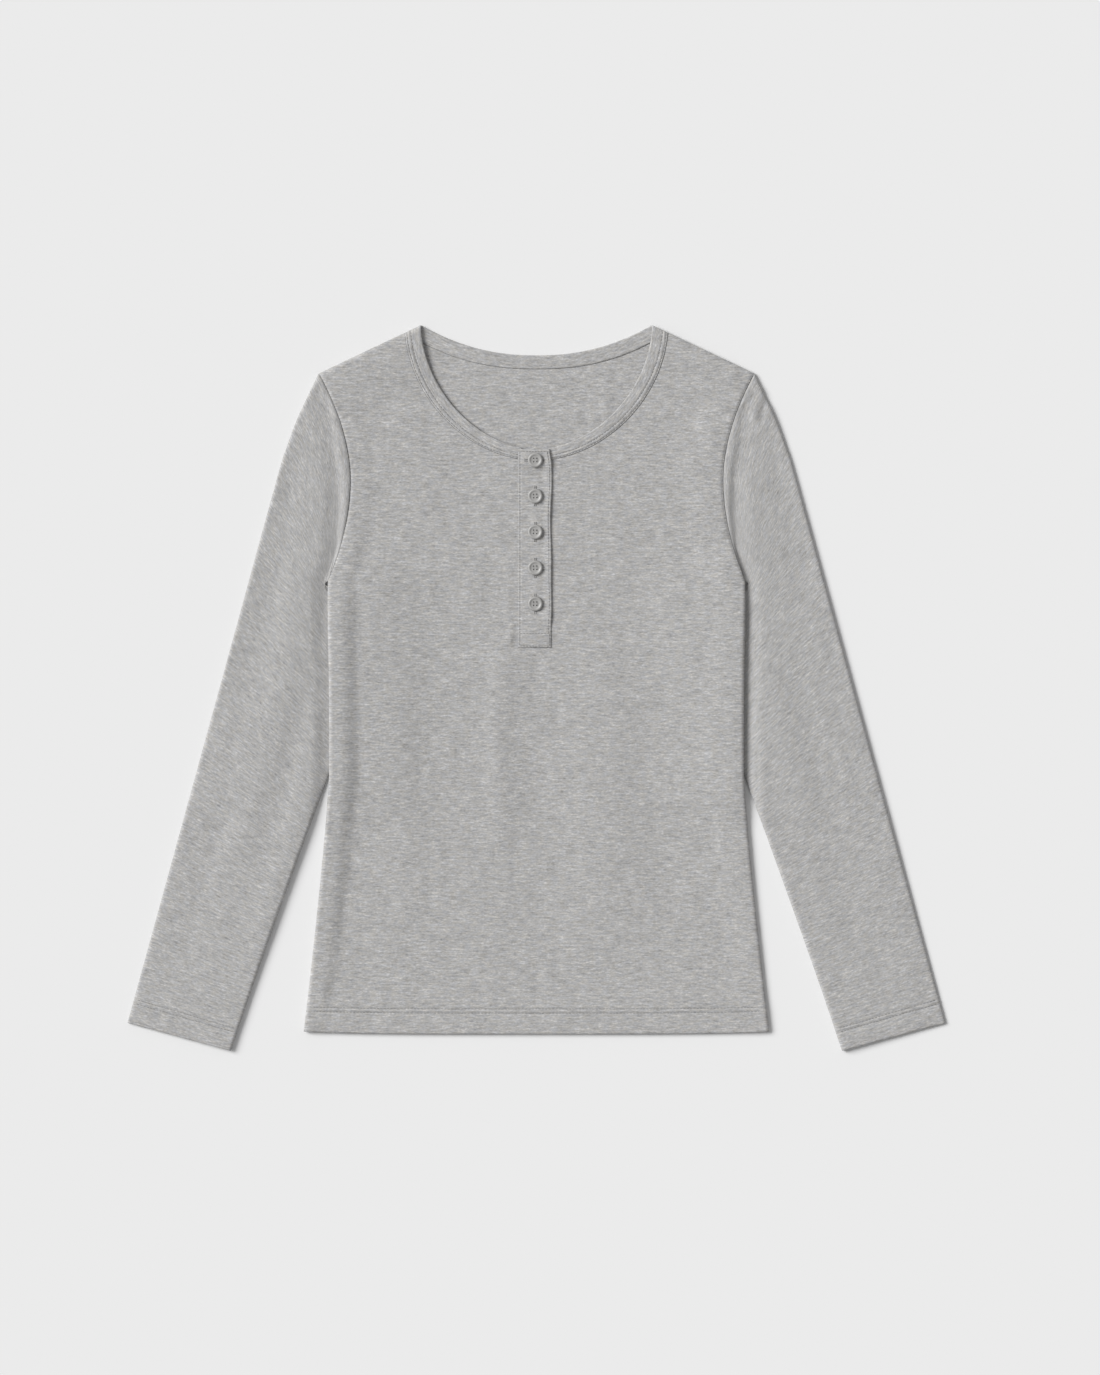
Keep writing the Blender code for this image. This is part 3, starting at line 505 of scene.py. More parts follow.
SLEEVE_FOLDS = {
    1: ({"route": ((205, 225), (216, 150), (236, 60)), "width": 13, "height": -0.9},
        {"route": ((196, 40), (214, -40), (238, -130)), "width": 12, "height": 0.7},
        {"route": ((222, 20), (248, -90), (280, -200)), "width": 14, "height": -0.6},
        {"route": ((192, 262), (187, 240), (181, 224)), "width": 4, "height": 1.0},
        {"route": ((199, 262), (195, 238), (188, 222)), "width": 3, "height": -1.0},
        {"route": ((300, -170), (316, -230), (322, -280)), "width": 12, "height": 0.6}),
    -1: ({"route": ((-208, 222), (-214, 160), (-232, 70), (-262, -40)), "width": 12, "height": -1.0},
         {"route": ((-200, 120), (-214, 20), (-244, -90), (-276, -200)), "width": 15, "height": 1.0},
         {"route": ((-192, 30), (-208, -50), (-232, -130)), "width": 10, "height": -0.7},
         {"route": ((-196, -80), (-222, -160), (-250, -250)), "width": 9, "height": 0.8},
         {"route": ((-262, -90), (-292, -190), (-312, -262)), "width": 12, "height": -0.7}),
}
INNER_PACE = 1.25           # rings lag along the inner edge, which keeps them apart beside the underarm
CURVE_FADE = 4.0            # how soon the rings lose the armhole's curve
TUCK_DEPTH = 8.0            # the sleeve drops under the body within this length below the underarm
SLEEVE_TILT = 2.0           # extra loft on the side next to the body


def sleeve_plan(t, f, narrow):
    """Plan position of points: t from armhole to cuff, f from the outer to the inner edge."""
    y0 = SHOULDER_Y + (UNDERARM_Y - SHOULDER_Y) * f
    armhole = np.stack([armhole_half(y0, narrow) + SEAM_GAP, y0], -1)
    outer, inner = at_fraction(OUTER_PATH, t), at_fraction(INNER_PATH, t ** INNER_PACE)
    t, f = t[..., None], f[..., None]
    straight = np.array([SHOULDER_HALF, SHOULDER_Y]) * (1 - f)
    straight = straight + np.array([float(side_half(np.float64(UNDERARM_Y))), UNDERARM_Y]) * f
    place = outer * (1 - f) + inner * f + (armhole - straight) * (1 - t) ** CURVE_FADE
    body = np.where(place[..., 1] > UNDERARM_Y, body_half(np.minimum(place[..., 1], SHOULDER_Y), narrow),
                    side_half(place[..., 1]))
    clear = SEAM_GAP + np.minimum(0.3 * t[..., 0] * 420.0, 2.0)
    held = place[..., 1] > UNDERARM_Y - TUCK_DEPTH
    place[..., 0] = np.where(held, np.maximum(place[..., 0], body + clear), place[..., 0])
    return place


def seam_height(y):
    y = np.clip(y, UNDERARM_Y, SHOULDER_Y)
    x = armhole_half(y, FRONT_NARROW)
    return front_surfaces(x - 0.05, y)[0]


def sleeve_top(x, y, f, side):
    """Outer height of a sleeve's upper layer. x is the distance from the middle of the shirt."""
    out = x - body_half(y)
    valley_floor = table(y, (UNDERARM_Y, 2.35), (140, 2.7), (240, 3.4))
    loft = 4.6 - 0.9 * smooth((-y - 100) / 150) + SLEEVE_TILT * (f - 0.4) * smooth((270 - y) / 60)
    ridge = table(y, (92, 0.3), (118, 2.0), (140, 7.0), (170, 10.0), (205, 11.6), (247, 5.0), (270.5, 3.0))
    height = valley_floor + (loft - valley_floor) * smooth((out - ridge) / 16.0)
    covered = (out < 0) & (y < UNDERARM_Y)
    reach = smooth((y - UNDERARM_Y + TUCK_DEPTH) / (TUCK_DEPTH - 1))
    crest = np.maximum(ridge - 6.0, 0.0)
    fall = ridge + 1.0 - crest + 18.0 * smooth((y - SHOULDER_Y + 34) / 34)
    blend = reach * (1 - smooth((out - crest) / fall))
    height = height + (seam_height(y) + 0.15 - height) * blend
    height = height - seam_dip(np.abs(out)) * (y > UNDERARM_Y)
    height = height + folds(side * x, y, SLEEVE_FOLDS[side]) * smooth((out - ridge - 3) / 12)
    return np.where(covered, 2.35, np.maximum(height, 2.3))


def sleeve_bottom(x, y):
    out = x - armhole_half(np.clip(y, UNDERARM_Y, SHOULDER_Y), BACK_NARROW)
    reach = smooth((y - UNDERARM_Y + TUCK_DEPTH) / (TUCK_DEPTH - 1))
    near = 1 - smooth(out / 20)
    tip = 1.4 * smooth((y - SHOULDER_Y + ROLL_REACH) / ROLL_REACH) * near
    return np.maximum(side_lift(y) * reach * near, tip)


def make_sleeve(name, side, material):
    near = np.array([0, 0.3, 0.7, 1.2, 1.9, 2.7, 3.6, 4.8, 6.2, 8.0, 10.0, 12.2, 14.6, 17.2]) / 500.0
    rest = np.linspace(0.04, 0.952, 165)
    hem = np.array([0.9555, 0.958, 0.9595, 0.961, 0.9625, 0.964, 0.9655, 0.967, 0.9685, 0.97, 0.9715,
                    0.975, 0.980, 0.986, 0.992, 0.9955, 0.9975, 0.999, 1.0])
    ts = np.concatenate([near, rest, hem])
    arc = ROLL_REACH * (1 - np.cos(np.linspace(0, pi / 2, 6)))
    outside, inside, uvs = [], [], []
    for t in ts:
        ends = sleeve_plan(np.full(2, t), np.array([0.0, 1.0]), FRONT_NARROW)
        length = np.hypot(*(ends[0] - ends[1]))
        u = np.concatenate([arc, np.linspace(ROLL_REACH, length - ROLL_REACH, 44)[1:-1], length - arc[::-1]])
        f = u / length
        tt = np.full(len(f), t)
        top_plan, low_plan = sleeve_plan(tt, f, FRONT_NARROW), sleeve_plan(tt, f, BACK_NARROW)
        top = sleeve_top(top_plan[:, 0], top_plan[:, 1], f, side)
        low = sleeve_bottom(low_plan[:, 0], low_plan[:, 1])
        from_cuff = (1 - t) * 585.0
        top = top + stitched_hem(from_cuff)
        middle = (top[0] + low[0]) / 2 * (1 - f) + (top[-1] + low[-1]) / 2 * f
        rise = np.minimum(round_edge(u), round_edge(length - u))
        cuff = float(round_edge(np.float64(from_cuff), 1.6))
        wall = WALL + (HEM_TURN if from_cuff < HEM_DEPTH - 1 else 0.0)
        wall = np.minimum(wall, (top - low) / 2 - 0.15)
        squeeze = 0.5 * wall * (1 - cuff)
        out_top = middle + (top - middle) * rise - squeeze * rise
        out_low = middle + (low - middle) * rise + squeeze * rise
        thin = 0.08 + 0.92 * cuff
        in_top = middle + (top - wall - middle) * rise * 0.98
        in_low = middle + (low + wall - middle) * rise * 0.98
        in_top = out_top + (in_top - out_top) * thin
        in_low = out_low + (in_low - out_low) * thin
        shrink = (length - 2 * WALL * thin) / length
        f_in = 0.5 + (f - 0.5) * shrink
        top_in = sleeve_plan(tt, f_in, FRONT_NARROW)
        low_in = sleeve_plan(tt, f_in, BACK_NARROW)
        outside.append(np.vstack([np.column_stack([top_plan, out_top]),
                                  np.column_stack([low_plan, out_low])[::-1][1:-1]]))
        inside.append(np.vstack([np.column_stack([top_in, in_top]),
                                 np.column_stack([low_in, in_low])[::-1][1:-1]]))
        grain = np.column_stack([np.concatenate([u, (2 * length - u)[::-1][1:-1]]) * side,
                                 np.full(2 * len(u) - 2, -t * 585.0)]) / 100.0
        uvs.append(grain)
    loops = outside + inside[::-1]
    flip = np.array([side, 1, 1])
    loops = [loop * flip for loop in loops]
    uvs = uvs + uvs[::-1]
    return ring_mesh(name, loops, uvs, material, closed_ends=False)


# ---------------------------------------------------------------- neckband

NEEDLES = (0.65, 0.89)      # where the twin needles run, as shares of the binding's width


def band_profile():
    """Cross-section: share of the width from the inner edge, height above the middle, clockwise."""
    across = np.concatenate([[0.0, 0.02, 0.05, 0.1], np.linspace(0.15, 0.93, 22), [0.96, 0.985, 1.0]])
    half = BAND_WALL / 2
    edge = np.sqrt(1 - np.clip(1 - np.minimum(across, 1 - across) / 0.09, 0, 1) ** 2)
    relief = 0.15 * bell(across - 0.77, 0.06)
    for share in NEEDLES:
        relief -= 0.4 * bell(across - share, 0.032)
    top = half * edge + relief * edge
    low = -half * edge
    return (np.concatenate([across, across[::-1][1:-1]]), np.concatenate([top, low[::-1][1:-1]]))


def band_half():
    """Stations from the placket over one shoulder to the centre back: inner point, outer point, up."""
    gap = 0.15
    ends = [front_inner(1.0), front_outer(1.0, gap)]
    curves = [(front_inner, back_inner), (lambda t: front_outer(t, gap), lambda t: back_outer(t, gap))]
    reach = 4.5
    starts = []
    for (front, back), end in zip(curves, ends):
        fine = np.linspace(0.8, 1.0, 400)
        pair = []
        for curve in (front, back):
            p = curve(fine)
            k = np.where(np.hypot(*(p - end).T) > reach)[0][-1]
            pair.append((fine[k], p[k]))
        starts.append(pair)
    stations = []
    for t in np.linspace(0.04, 1.0, 90):
        row = []
        for (front, _), pair in zip(curves, starts):
            p = front(t * pair[0][0])
            z = front_flat(np.array([p[0]]), np.array([p[1]]))[0] + 0.1
            row.append((np.array([p[0], p[1], z]), np.array([0.0, 0.0, 1.0])))
        stations.append(row)
    for angle in np.linspace(0, pi, 13)[1:-1]:
        row = []
        for pair, end in zip(starts, ends):
            start = pair[0][1] if angle < pi / 2 else pair[1][1]
            high = front_flat(np.array([pair[0][1][0]]), np.array([pair[0][1][1]]))[0] + 0.1
            low = BAND_WALL / 2
            away = (end - start) / np.hypot(*(end - start))
            tip = end - away * BAND_WALL / 2
            place = start + (tip - start) * sin(angle)
            z = (high + low) / 2 + (high - low) / 2 * cos(angle)
            up = np.array([away[0] * sin(angle), away[1] * sin(angle), cos(angle)])
            row.append((np.array([place[0], place[1], z]), up))
        stations.append(row)
    for t in np.linspace(1.0, 0.0, 70):
        row = []
        for (_, back), pair in zip(curves, starts):
            p = back(t * pair[1][0])
            row.append((np.array([p[0], p[1], BAND_WALL / 2]), np.array([0.0, 0.0, -1.0])))
        stations.append(row)
    return stations


def make_band(material):
    across, height = band_profile()
    half = band_half()
    width = 12.5
    loops, uvs = [], []
    places = [(row, 1) for row in half] + [(row, -1) for row in reversed(half[:-1])]
    run = 0.0
    last = None
    for (inner, outer), side in places:
        x_limit = SLIT_RIGHT + SEAM_GAP if side > 0 else -SLIT_LEFT + SEAM_GAP
        points = inner[0][None] + (outer[0] - inner[0])[None] * across[:, None]
        up = inner[1] + outer[1]
        points = points + (up / np.linalg.norm(up))[None] * height[:, None]
        points[:, 0] = np.maximum(points[:, 0], x_limit) if inner[0][1] < 240 else points[:, 0]
        points[:, 0] *= side
        middle = points.mean(0)
        run += 0.0 if last is None else np.linalg.norm(middle - last)
        last = middle
        loops.append(points)
        uvs.append(np.column_stack([np.full(len(across), run), across * width]) / 100.0)
    return ring_mesh("neckband", loops, uvs, material)


# ---------------------------------------------------------------- placket

TOP_LOW, TOP_HIGH = node_box("placket_top")
UNDER_LOW, UNDER_HIGH = node_box("placket_under")


TOP_WALL = 0.9


def placket_base(y):
    y = np.minimum(np.asarray(y, float), neck_height(0.0) - 2)
    return front_flat(np.full_like(y, SLIT_RIGHT), y)


def placket_strip(name, left, right, rows, middle_fn, wall, material, relief_fn):
    """Strip of cloth with rounded long edges; the functions take (x, y) arrays."""
    share = np.concatenate([[0, 0.01, 0.03, 0.06], np.linspace(0.1, 0.9, 26), [0.94, 0.97, 0.99, 1.0]])
    edge = np.sqrt(1 - np.clip(1 - np.minimum(share, 1 - share) / 0.045, 0, 1) ** 2)
    loops, uvs = [], []
    for k, y in enumerate(rows):
        x0, x1 = left(y), right(y)
        x = x0 + (x1 - x0) * share
        yy = np.full_like(x, y)
        end = 0.35 if k in (0, len(rows) - 1) else 1.0
        middle = middle_fn(x, yy)
        top = middle + wall / 2 * edge * end + relief_fn(x, yy) * edge
        low = middle - wall / 2 * edge * end
        xs = np.concatenate([x, x[::-1][1:-1]])
        loops.append(np.column_stack([xs, np.full(len(xs), y), np.concatenate([top, low[::-1][1:-1]])]))
        uvs.append(np.column_stack([xs, np.full(len(xs), y)]) / 100.0)
    return ring_mesh(name, loops, uvs, material)


def free_edge(y):
    """Wander of the placket's open edge."""
    hold = smooth((y - 52) / 12)
    return hold * (0.5 * sin(y / 9.0 + 0.6) * 0.6 + 0.45 * sin(y / 15.0 + 2.0)) - 1.1 * smooth((y - 192) / 12)


def edge_lift(x, y):
    """The open edge stands off the shirt, more in some places than in others."""
    open_part = smooth((y - 50) / 12) * (1 - smooth((y - 200) / 9))
    return (0.95 + 0.3 * np.sin(y / 8.0 + 1.0)) * open_part * smooth((x - TOP_HIGH[0] + 8) / 8)


def top_middle(x, y):
    climb = 0.9 * smooth((y - 188) / 5)
    return placket_base(y) + WALL / 2 + 0.05 + TOP_WALL / 2 + climb + edge_lift(x, y)


BOX_TOP = 47.0              # stitched line across the foot of the placket


def top_relief(x, y):
    seam = -0.3 * bell(x - TOP_LOW[0] - 1.6, 0.6) - 0.2 * bell(x - 10.4, 0.6)
    box = -0.35 * bell(y - BOX_TOP, 0.7) * smooth((x + 15) / 1.5)
    flush = -0.4 * (1 - smooth((x - TOP_LOW[0]) / 2.0))
    return seam + box + flush + 0.2 * bell(x + 1.5, 10.0)


def make_plackets(material):
    rows = np.concatenate([[TOP_LOW[1], TOP_LOW[1] + 0.4, TOP_LOW[1] + 1.0],
                           np.arange(TOP_LOW[1] + 2, TOP_HIGH[1] - 2, 1.3),
                           [TOP_HIGH[1] - 1.0, TOP_HIGH[1] - 0.4, TOP_HIGH[1]]])
    top = placket_strip("placket_upper", lambda y: TOP_LOW[0], lambda y: TOP_HIGH[0] + free_edge(y), rows,
                        top_middle, TOP_WALL, material, top_relief)
    rows = np.linspace(UNDER_LOW[1], UNDER_HIGH[1], 60)
    under = placket_strip("placket_lower", lambda y: UNDER_LOW[0], lambda y: UNDER_HIGH[0], rows,
                          lambda x, y: placket_base(y) - 0.2, 1.4, material, lambda x, y: 0.0 * x)
    return top, under


# ---------------------------------------------------------------- stitches

def thread_mesh(name, stitches, radius, material, sides=6):
    """Joined mesh of short threads; each is a pair of 3-D end points with an optional upward bow."""
    vertices, faces = [], []
    angles = np.arange(sides) * 2 * pi / sides
    profile = ((0.0, 0.35), (0.12, 0.9), (0.5, 1.0), (0.88, 0.9), (1.0, 0.35))
    for start, end in stitches:
        start, end = np.array(start, float), np.array(end, float)
        along = end - start
        along = along / np.linalg.norm(along)
        side = np.cross(along, (0, 0, 1.0))
        side = side / np.linalg.norm(side)
        up = np.cross(side, along)
        first = len(vertices)
        for share, size in profile:
            centre = start + (end - start) * share + up * radius * 0.8 * sin(pi * share)
            for a in angles:
                vertices.append(centre + (side * cos(a) + up * sin(a)) * radius * size)
        for k in range(len(profile) - 1):
            for i in range(sides):
                j = (i + 1) % sides
                a = first + k * sides
                faces.append((a + i, a + j, a + sides + j, a + sides + i))
        faces.append(tuple(first + i for i in range(sides)))
        last = first + (len(profile) - 1) * sides
        faces.append(tuple(last + i for i in reversed(range(sides))))
    return finish_mesh(name, vertices, faces, material)


def along_curve(curve, height, pitch=2.9, length=2.3):
    """Stitches laid end to end along a plan curve on a height function."""
    points = evenly(np.asarray(curve, float), pitch)
    stitches = []
    for a, b in zip(points, points[1:]):
        e = a + (b - a) * (length / pitch)
        za, zb = height(np.array([a[0]]), np.array([a[1]]))[0], height(np.array([e[0]]), np.array([e[1]]))[0]
        stitches.append(((a[0], a[1], za), (e[0], e[1], zb)))
    return stitches


# ---------------------------------------------------------------- buttons

# Share of the radius and of the thickness, from the dish over the rim to the underside
BUTTON_PROFILE = ((0.0, 0.74), (0.50, 0.74), (0.58, 0.76), (0.64, 0.84), (0.70, 0.94), (0.77, 1.0), (0.85, 0.99),
                  (0.92, 0.90), (0.97, 0.74), (1.0, 0.52), (0.985, 0.30), (0.93, 0.12), (0.80, 0.0))
HOLE_OFFSET = 1.4
HOLE_RADIUS = 0.62
BUTTON_TURNS = (0.0, 0.05, -0.04, 0.03, 0.0)


def button_mesh(radius, thickness, material):
    segments = 56
    vertices, faces = [], []
    for share, height in BUTTON_PROFILE[1:]:
        for k in range(segments):
            a = 2 * pi * k / segments
            vertices.append((radius * share * cos(a), radius * share * sin(a), thickness * height))
    for r in range(len(BUTTON_PROFILE) - 2):
        for k in range(segments):
            j = (k + 1) % segments
            faces.append((r * segments + k, r * segments + j, (r + 1) * segments + j, (r + 1) * segments + k))
    faces.append(tuple(range(segments)))
    last = (len(BUTTON_PROFILE) - 2) * segments
    faces.append(tuple(reversed(range(last, last + segments))))
    mesh = bpy.data.meshes.new("button_form")
    mesh.from_pydata((np.array(vertices) * MM).tolist(), [], faces)
    shell = bmesh.new()
    shell.from_mesh(mesh)
    bmesh.ops.recalc_face_normals(shell, faces=shell.faces)
    shell.to_mesh(mesh)
    shell.clear()
    for sx in (-1, 1):
        for sy in (-1, 1):
            made = bmesh.ops.create_cone(shell, cap_ends=True, segments=16, radius1=HOLE_RADIUS * MM,
                                         radius2=HOLE_RADIUS * MM, depth=12 * MM)
            bmesh.ops.translate(shell, verts=made["verts"], vec=(sx * HOLE_OFFSET * MM, sy * HOLE_OFFSET * MM, 0))
    holes = bpy.data.meshes.new("button_holes")
    shell.to_mesh(holes)
    shell.free()
    body = bpy.data.objects.new("button_form", mesh)
    cutter = bpy.data.objects.new("button_holes", holes)
    for item in (body, cutter):
        bpy.context.scene.collection.objects.link(item)
    cut = body.modifiers.new("holes", "BOOLEAN")
    cut.object = cutter
    cut.operation = "DIFFERENCE"
    graph = bpy.context.evaluated_depsgraph_get()
    done = bpy.data.meshes.new_from_object(body.evaluated_get(graph))
    for item in (body, cutter):
        bpy.data.objects.remove(item, do_unlink=True)
    done.materials.clear()
    done.materials.append(material)
    done.shade_smooth()
    done.set_sharp_from_angle(angle=radians(38))
    return done


def make_buttons(material, thread):
    names = ["button_%d" % k for k in range(1, 6)]
    low, high = node_box(names[0])
    radius = (high[0] - low[0]) / 2
    form = button_mesh(radius, high[2] - low[2], material)
    stitches, holes = [], []
    for k, name in enumerate(names):
        low, high = node_box(name)
        x, y = (low[0] + high[0]) / 2, (low[1] + high[1]) / 2
        base = float(top_middle(np.array([x]), np.array([y]))[0]) + TOP_WALL / 2 + 0.3
        piece = bpy.data.objects.new(name + "_detailed", form)
        piece.location = (x * MM, y * MM, base * MM)
        piece.rotation_euler = (radians(1.5 * sin(2.1 * k)), radians(1.2 * cos(1.7 * k)), BUTTON_TURNS[k])
        bpy.context.scene.collection.objects.link(piece)
        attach(piece, "root")
        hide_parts(name)
        z = base + (high[2] - low[2]) * BUTTON_PROFILE[0][1]
        turn = BUTTON_TURNS[k]
        for sx in (-1, 1):
            ends = []
            for sy in (-1, 1):
                u, v = sx * HOLE_OFFSET, sy * (HOLE_OFFSET - 0.1)
                ends.append((x + cos(turn) * u - sin(turn) * v, y + sin(turn) * u + cos(turn) * v, z - 0.05))
            stitches.append(tuple(ends))
        holes += buttonhole(x, y, k == 0)
    thread_mesh("button_thread", stitches, 0.2, thread)
    thread_mesh("buttonhole_thread", holes, 0.24, thread)


def buttonhole(x, y, across):
    """Close satin bars round a slot: upright, or across the placket for the top one."""
    bars = []
    reach = 8.4
    for k in range(34):
        s = -reach + 2 * reach * k / 33
        for side in (-1, 1):
            p = (side * 0.25, s) if not across else (s - 1.0, side * 0.25)
            q = (side * 1.15, s) if not across else (s - 1.0, side * 1.15)
            ends = []
            for u, v in (p, q):
                z = float(top_middle(np.array([x + u]), np.array([y + v]))[0])
                ends.append((x + u, y + v, z + TOP_WALL / 2 + 0.3))
            bars.append(tuple(ends))
    return bars


# ---------------------------------------------------------------- materials

def link(tree, a, b):
    tree.links.new(a, b)


def math_node(tree, operation, a, b):
    node = tree.nodes.new("ShaderNodeMath")
    node.operation = operation
    for k, value in enumerate((a, b)):
        if isinstance(value, (int, float)):
            node.inputs[k].default_value = value
        else:
            link(tree, value, node.inputs[k])
    return node.outputs[0]


def noise(tree, coordinates, scale, size, detail=2.0, rough=0.5):
    """Noise in the cloth's own directions: scale is cells per 100 mm, size stretches X and Y."""
    mapping = tree.nodes.new("ShaderNodeMapping")
    mapping.inputs["Scale"].default_value = (size[0], size[1], 1.0)
    mapping.inputs["Location"].default_value = (scale * 0.37, scale * 0.11, 0.0)
    link(tree, coordinates, mapping.inputs["Vector"])
    node = tree.nodes.new("ShaderNodeTexNoise")
    node.inputs["Scale"].default_value = scale
    node.inputs["Detail"].default_value = detail
    node.inputs["Roughness"].default_value = rough
    link(tree, mapping.outputs[0], node.inputs["Vector"])
    return node.outputs["Fac"]


def knit_material(name, tone=1.0, grain=True):
    """Brushed melange knit: streaks along the courses, flecks, warm and cool yarns, nap."""
    material = bpy.data.materials.new(name)
    material.use_nodes = True
    tree = material.node_tree
    shader = tree.nodes["Principled BSDF"]
    if grain:
        source = tree.nodes.new("ShaderNodeUVMap")
        source.uv_map = "grain"
        place = source.outputs[0]
    else:
        source = tree.nodes.new("ShaderNodeTexCoord")
        scale = tree.nodes.new("ShaderNodeVectorMath")
        scale.operation = "SCALE"
        scale.inputs["Scale"].default_value = 10.0
        link(tree, source.outputs["Object"], scale.inputs[0])
        place = scale.outputs[0]
    streaks = noise(tree, place, 46.0, (0.26, 1.3), 4.0, 0.62)
    flecks = noise(tree, place, 95.0, (0.45, 1.0), 2.0, 0.6)
    mottle = noise(tree, place, 9.0, (0.6, 1.0), 3.0, 0.55)
    mix = math_node(tree, "ADD", math_node(tree, "MULTIPLY", streaks, 0.5),
                    math_node(tree, "MULTIPLY", flecks, 0.35))
    mix = math_node(tree, "ADD", mix, math_node(tree, "MULTIPLY", mottle, 0.15))
    ramp = tree.nodes.new("ShaderNodeValToRGB")
    stops = ((0.33, 0.24), (0.46, 0.385), (0.54, 0.47), (0.67, 0.68))
    ramp.color_ramp.elements[0].position = stops[0][0]
    ramp.color_ramp.elements[1].position = stops[-1][0]
    for position, _ in stops[1:-1]:
        ramp.color_ramp.elements.new(position)
    for element, (_, value) in zip(ramp.color_ramp.elements, stops):
        element.color = (value * tone, value * tone * 0.992, value * tone * 0.975, 1.0)
    link(tree, mix, ramp.inputs["Fac"])
    tint = noise(tree, place, 40.0, (0.4, 1.0), 1.0)
    warm = tree.nodes.new("ShaderNodeValToRGB")
    warm.color_ramp.elements[0].position, warm.color_ramp.elements[1].position = 0.35, 0.65
    warm.color_ramp.elements[0].color = (0.975, 0.985, 1.02, 1.0)
    warm.color_ramp.elements[1].color = (1.02, 1.0, 0.975, 1.0)
    link(tree, tint, warm.inputs["Fac"])
    colour = tree.nodes.new("ShaderNodeMix")
    colour.data_type = "RGBA"
    colour.blend_type = "MULTIPLY"
    colour.inputs["Factor"].default_value = 1.0
    link(tree, ramp.outputs["Color"], colour.inputs["A"])
    link(tree, warm.outputs["Color"], colour.inputs["B"])
    link(tree, colour.outputs["Result"], shader.inputs["Base Color"])
    shader.inputs["Roughness"].default_value = 0.95
    shader.inputs["Specular IOR Level"].default_value = 0.2
    shader.inputs["Sheen Weight"].default_value = 0.12
    shader.inputs["Sheen Roughness"].default_value = 0.6
    fuzz = noise(tree, place, 150.0, (0.7, 1.0), 3.0, 0.7)
    relief = math_node(tree, "ADD", math_node(tree, "MULTIPLY", fuzz, 0.6),
                       math_node(tree, "MULTIPLY", mottle, 0.9))
    if grain:
        wale = tree.nodes.new("ShaderNodeTexWave")
        wale.inputs["Scale"].default_value = 34.0
        wale.inputs["Distortion"].default_value = 1.2
        wale.inputs["Detail"].default_value = 1.0
        link(tree, place, wale.inputs["Vector"])
        relief = math_node(tree, "ADD", relief, math_node(tree, "MULTIPLY", wale.outputs["Fac"], 0.25))
    bump = tree.nodes.new("ShaderNodeBump")
    bump.inputs["Strength"].default_value = 0.35
    bump.inputs["Distance"].default_value = 0.0006
    link(tree, relief, bump.inputs["Height"])
    link(tree, bump.outputs["Normal"], shader.inputs["Normal"])
    return material


def button_material():
    material = bpy.data.materials.new("dyed_resin")
    material.use_nodes = True
    tree = material.node_tree
    shader = tree.nodes["Principled BSDF"]
    coordinates = tree.nodes.new("ShaderNodeTexCoord")
    cloud = noise(tree, coordinates.outputs["Object"], 260.0, (1.0, 1.0), 3.0)
    ramp = tree.nodes.new("ShaderNodeValToRGB")
    ramp.color_ramp.elements[0].color = (0.33, 0.325, 0.315, 1.0)
    ramp.color_ramp.elements[1].color = (0.43, 0.425, 0.415, 1.0)
    ramp.color_ramp.elements[0].position, ramp.color_ramp.elements[1].position = 0.3, 0.7
    link(tree, cloud, ramp.inputs["Fac"])
    link(tree, ramp.outputs["Color"], shader.inputs["Base Color"])
    shader.inputs["Roughness"].default_value = 0.42
    shader.inputs["Coat Weight"].default_value = 0.1
    shader.inputs["Coat Roughness"].default_value = 0.3
    return material


def floor_material():
    material = bpy.data.materials.new("pale_floor")
    material.use_nodes = True
    shader = material.node_tree.nodes["Principled BSDF"]
    shader.inputs["Base Color"].default_value = (0.84, 0.84, 0.84, 1.0)
    shader.inputs["Roughness"].default_value = 1.0
    shader.inputs["Specular IOR Level"].default_value = 0.0
    return material


# ---------------------------------------------------------------- camera, light and floor

def make_stage():
    width, height = 0.946, 1.1825
    distance = 6.0
    camera = bpy.data.cameras.new("camera")
    camera.sensor_fit = "VERTICAL"
    camera.sensor_height = 36.0
    camera.lens = 36.0 * distance / height
    camera.clip_end = 50.0
    holder = bpy.data.objects.new("camera", camera)
    holder.location = (0.0116, 0.0004, distance)
    bpy.context.scene.collection.objects.link(holder)
    bpy.context.scene.camera = holder
    sun = bpy.data.lights.new("key", "SUN")
    sun.energy = 3.36
    sun.angle = radians(32)
    lamp = bpy.data.objects.new("key", sun)
    elevation, bearing = radians(36), radians(157)
    towards = Vector((cos(elevation) * cos(bearing), cos(elevation) * sin(bearing), sin(elevation)))
    lamp.rotation_euler = towards.to_track_quat("Z", "Y").to_euler()
    bpy.context.scene.collection.objects.link(lamp)
    world = bpy.data.worlds.new("studio")
    bpy.context.scene.world = world
    world.use_nodes = True
    world.node_tree.nodes["Background"].inputs["Color"].default_value = (1.0, 1.0, 1.0, 1.0)
    world.node_tree.nodes["Background"].inputs["Strength"].default_value = 0.36
    mesh = bpy.data.meshes.new("floor")
    reach = 6.0
    mesh.from_pydata([(-reach, -reach, 0), (reach, -reach, 0), (reach, reach, 0), (-reach, reach, 0)], [],
                     [(0, 1, 2, 3)])
    mesh.materials.append(floor_material())
    floor = bpy.data.objects.new("floor", mesh)
    floor.location.z = -0.0002
    bpy.context.scene.collection.objects.link(floor)
    bpy.context.scene.view_settings.view_transform = "Standard"


# ---------------------------------------------------------------- assembly

def hem_stitches(height):
    rows = []
    for above in HEM_NEEDLES:
        x = np.linspace(-1, 1, 300) * (side_half(np.float64(HEM_Y + above)) - 2.5)
        rows += along_curve(np.column_stack([x, hem_line(x) + above]), height)
    return rows


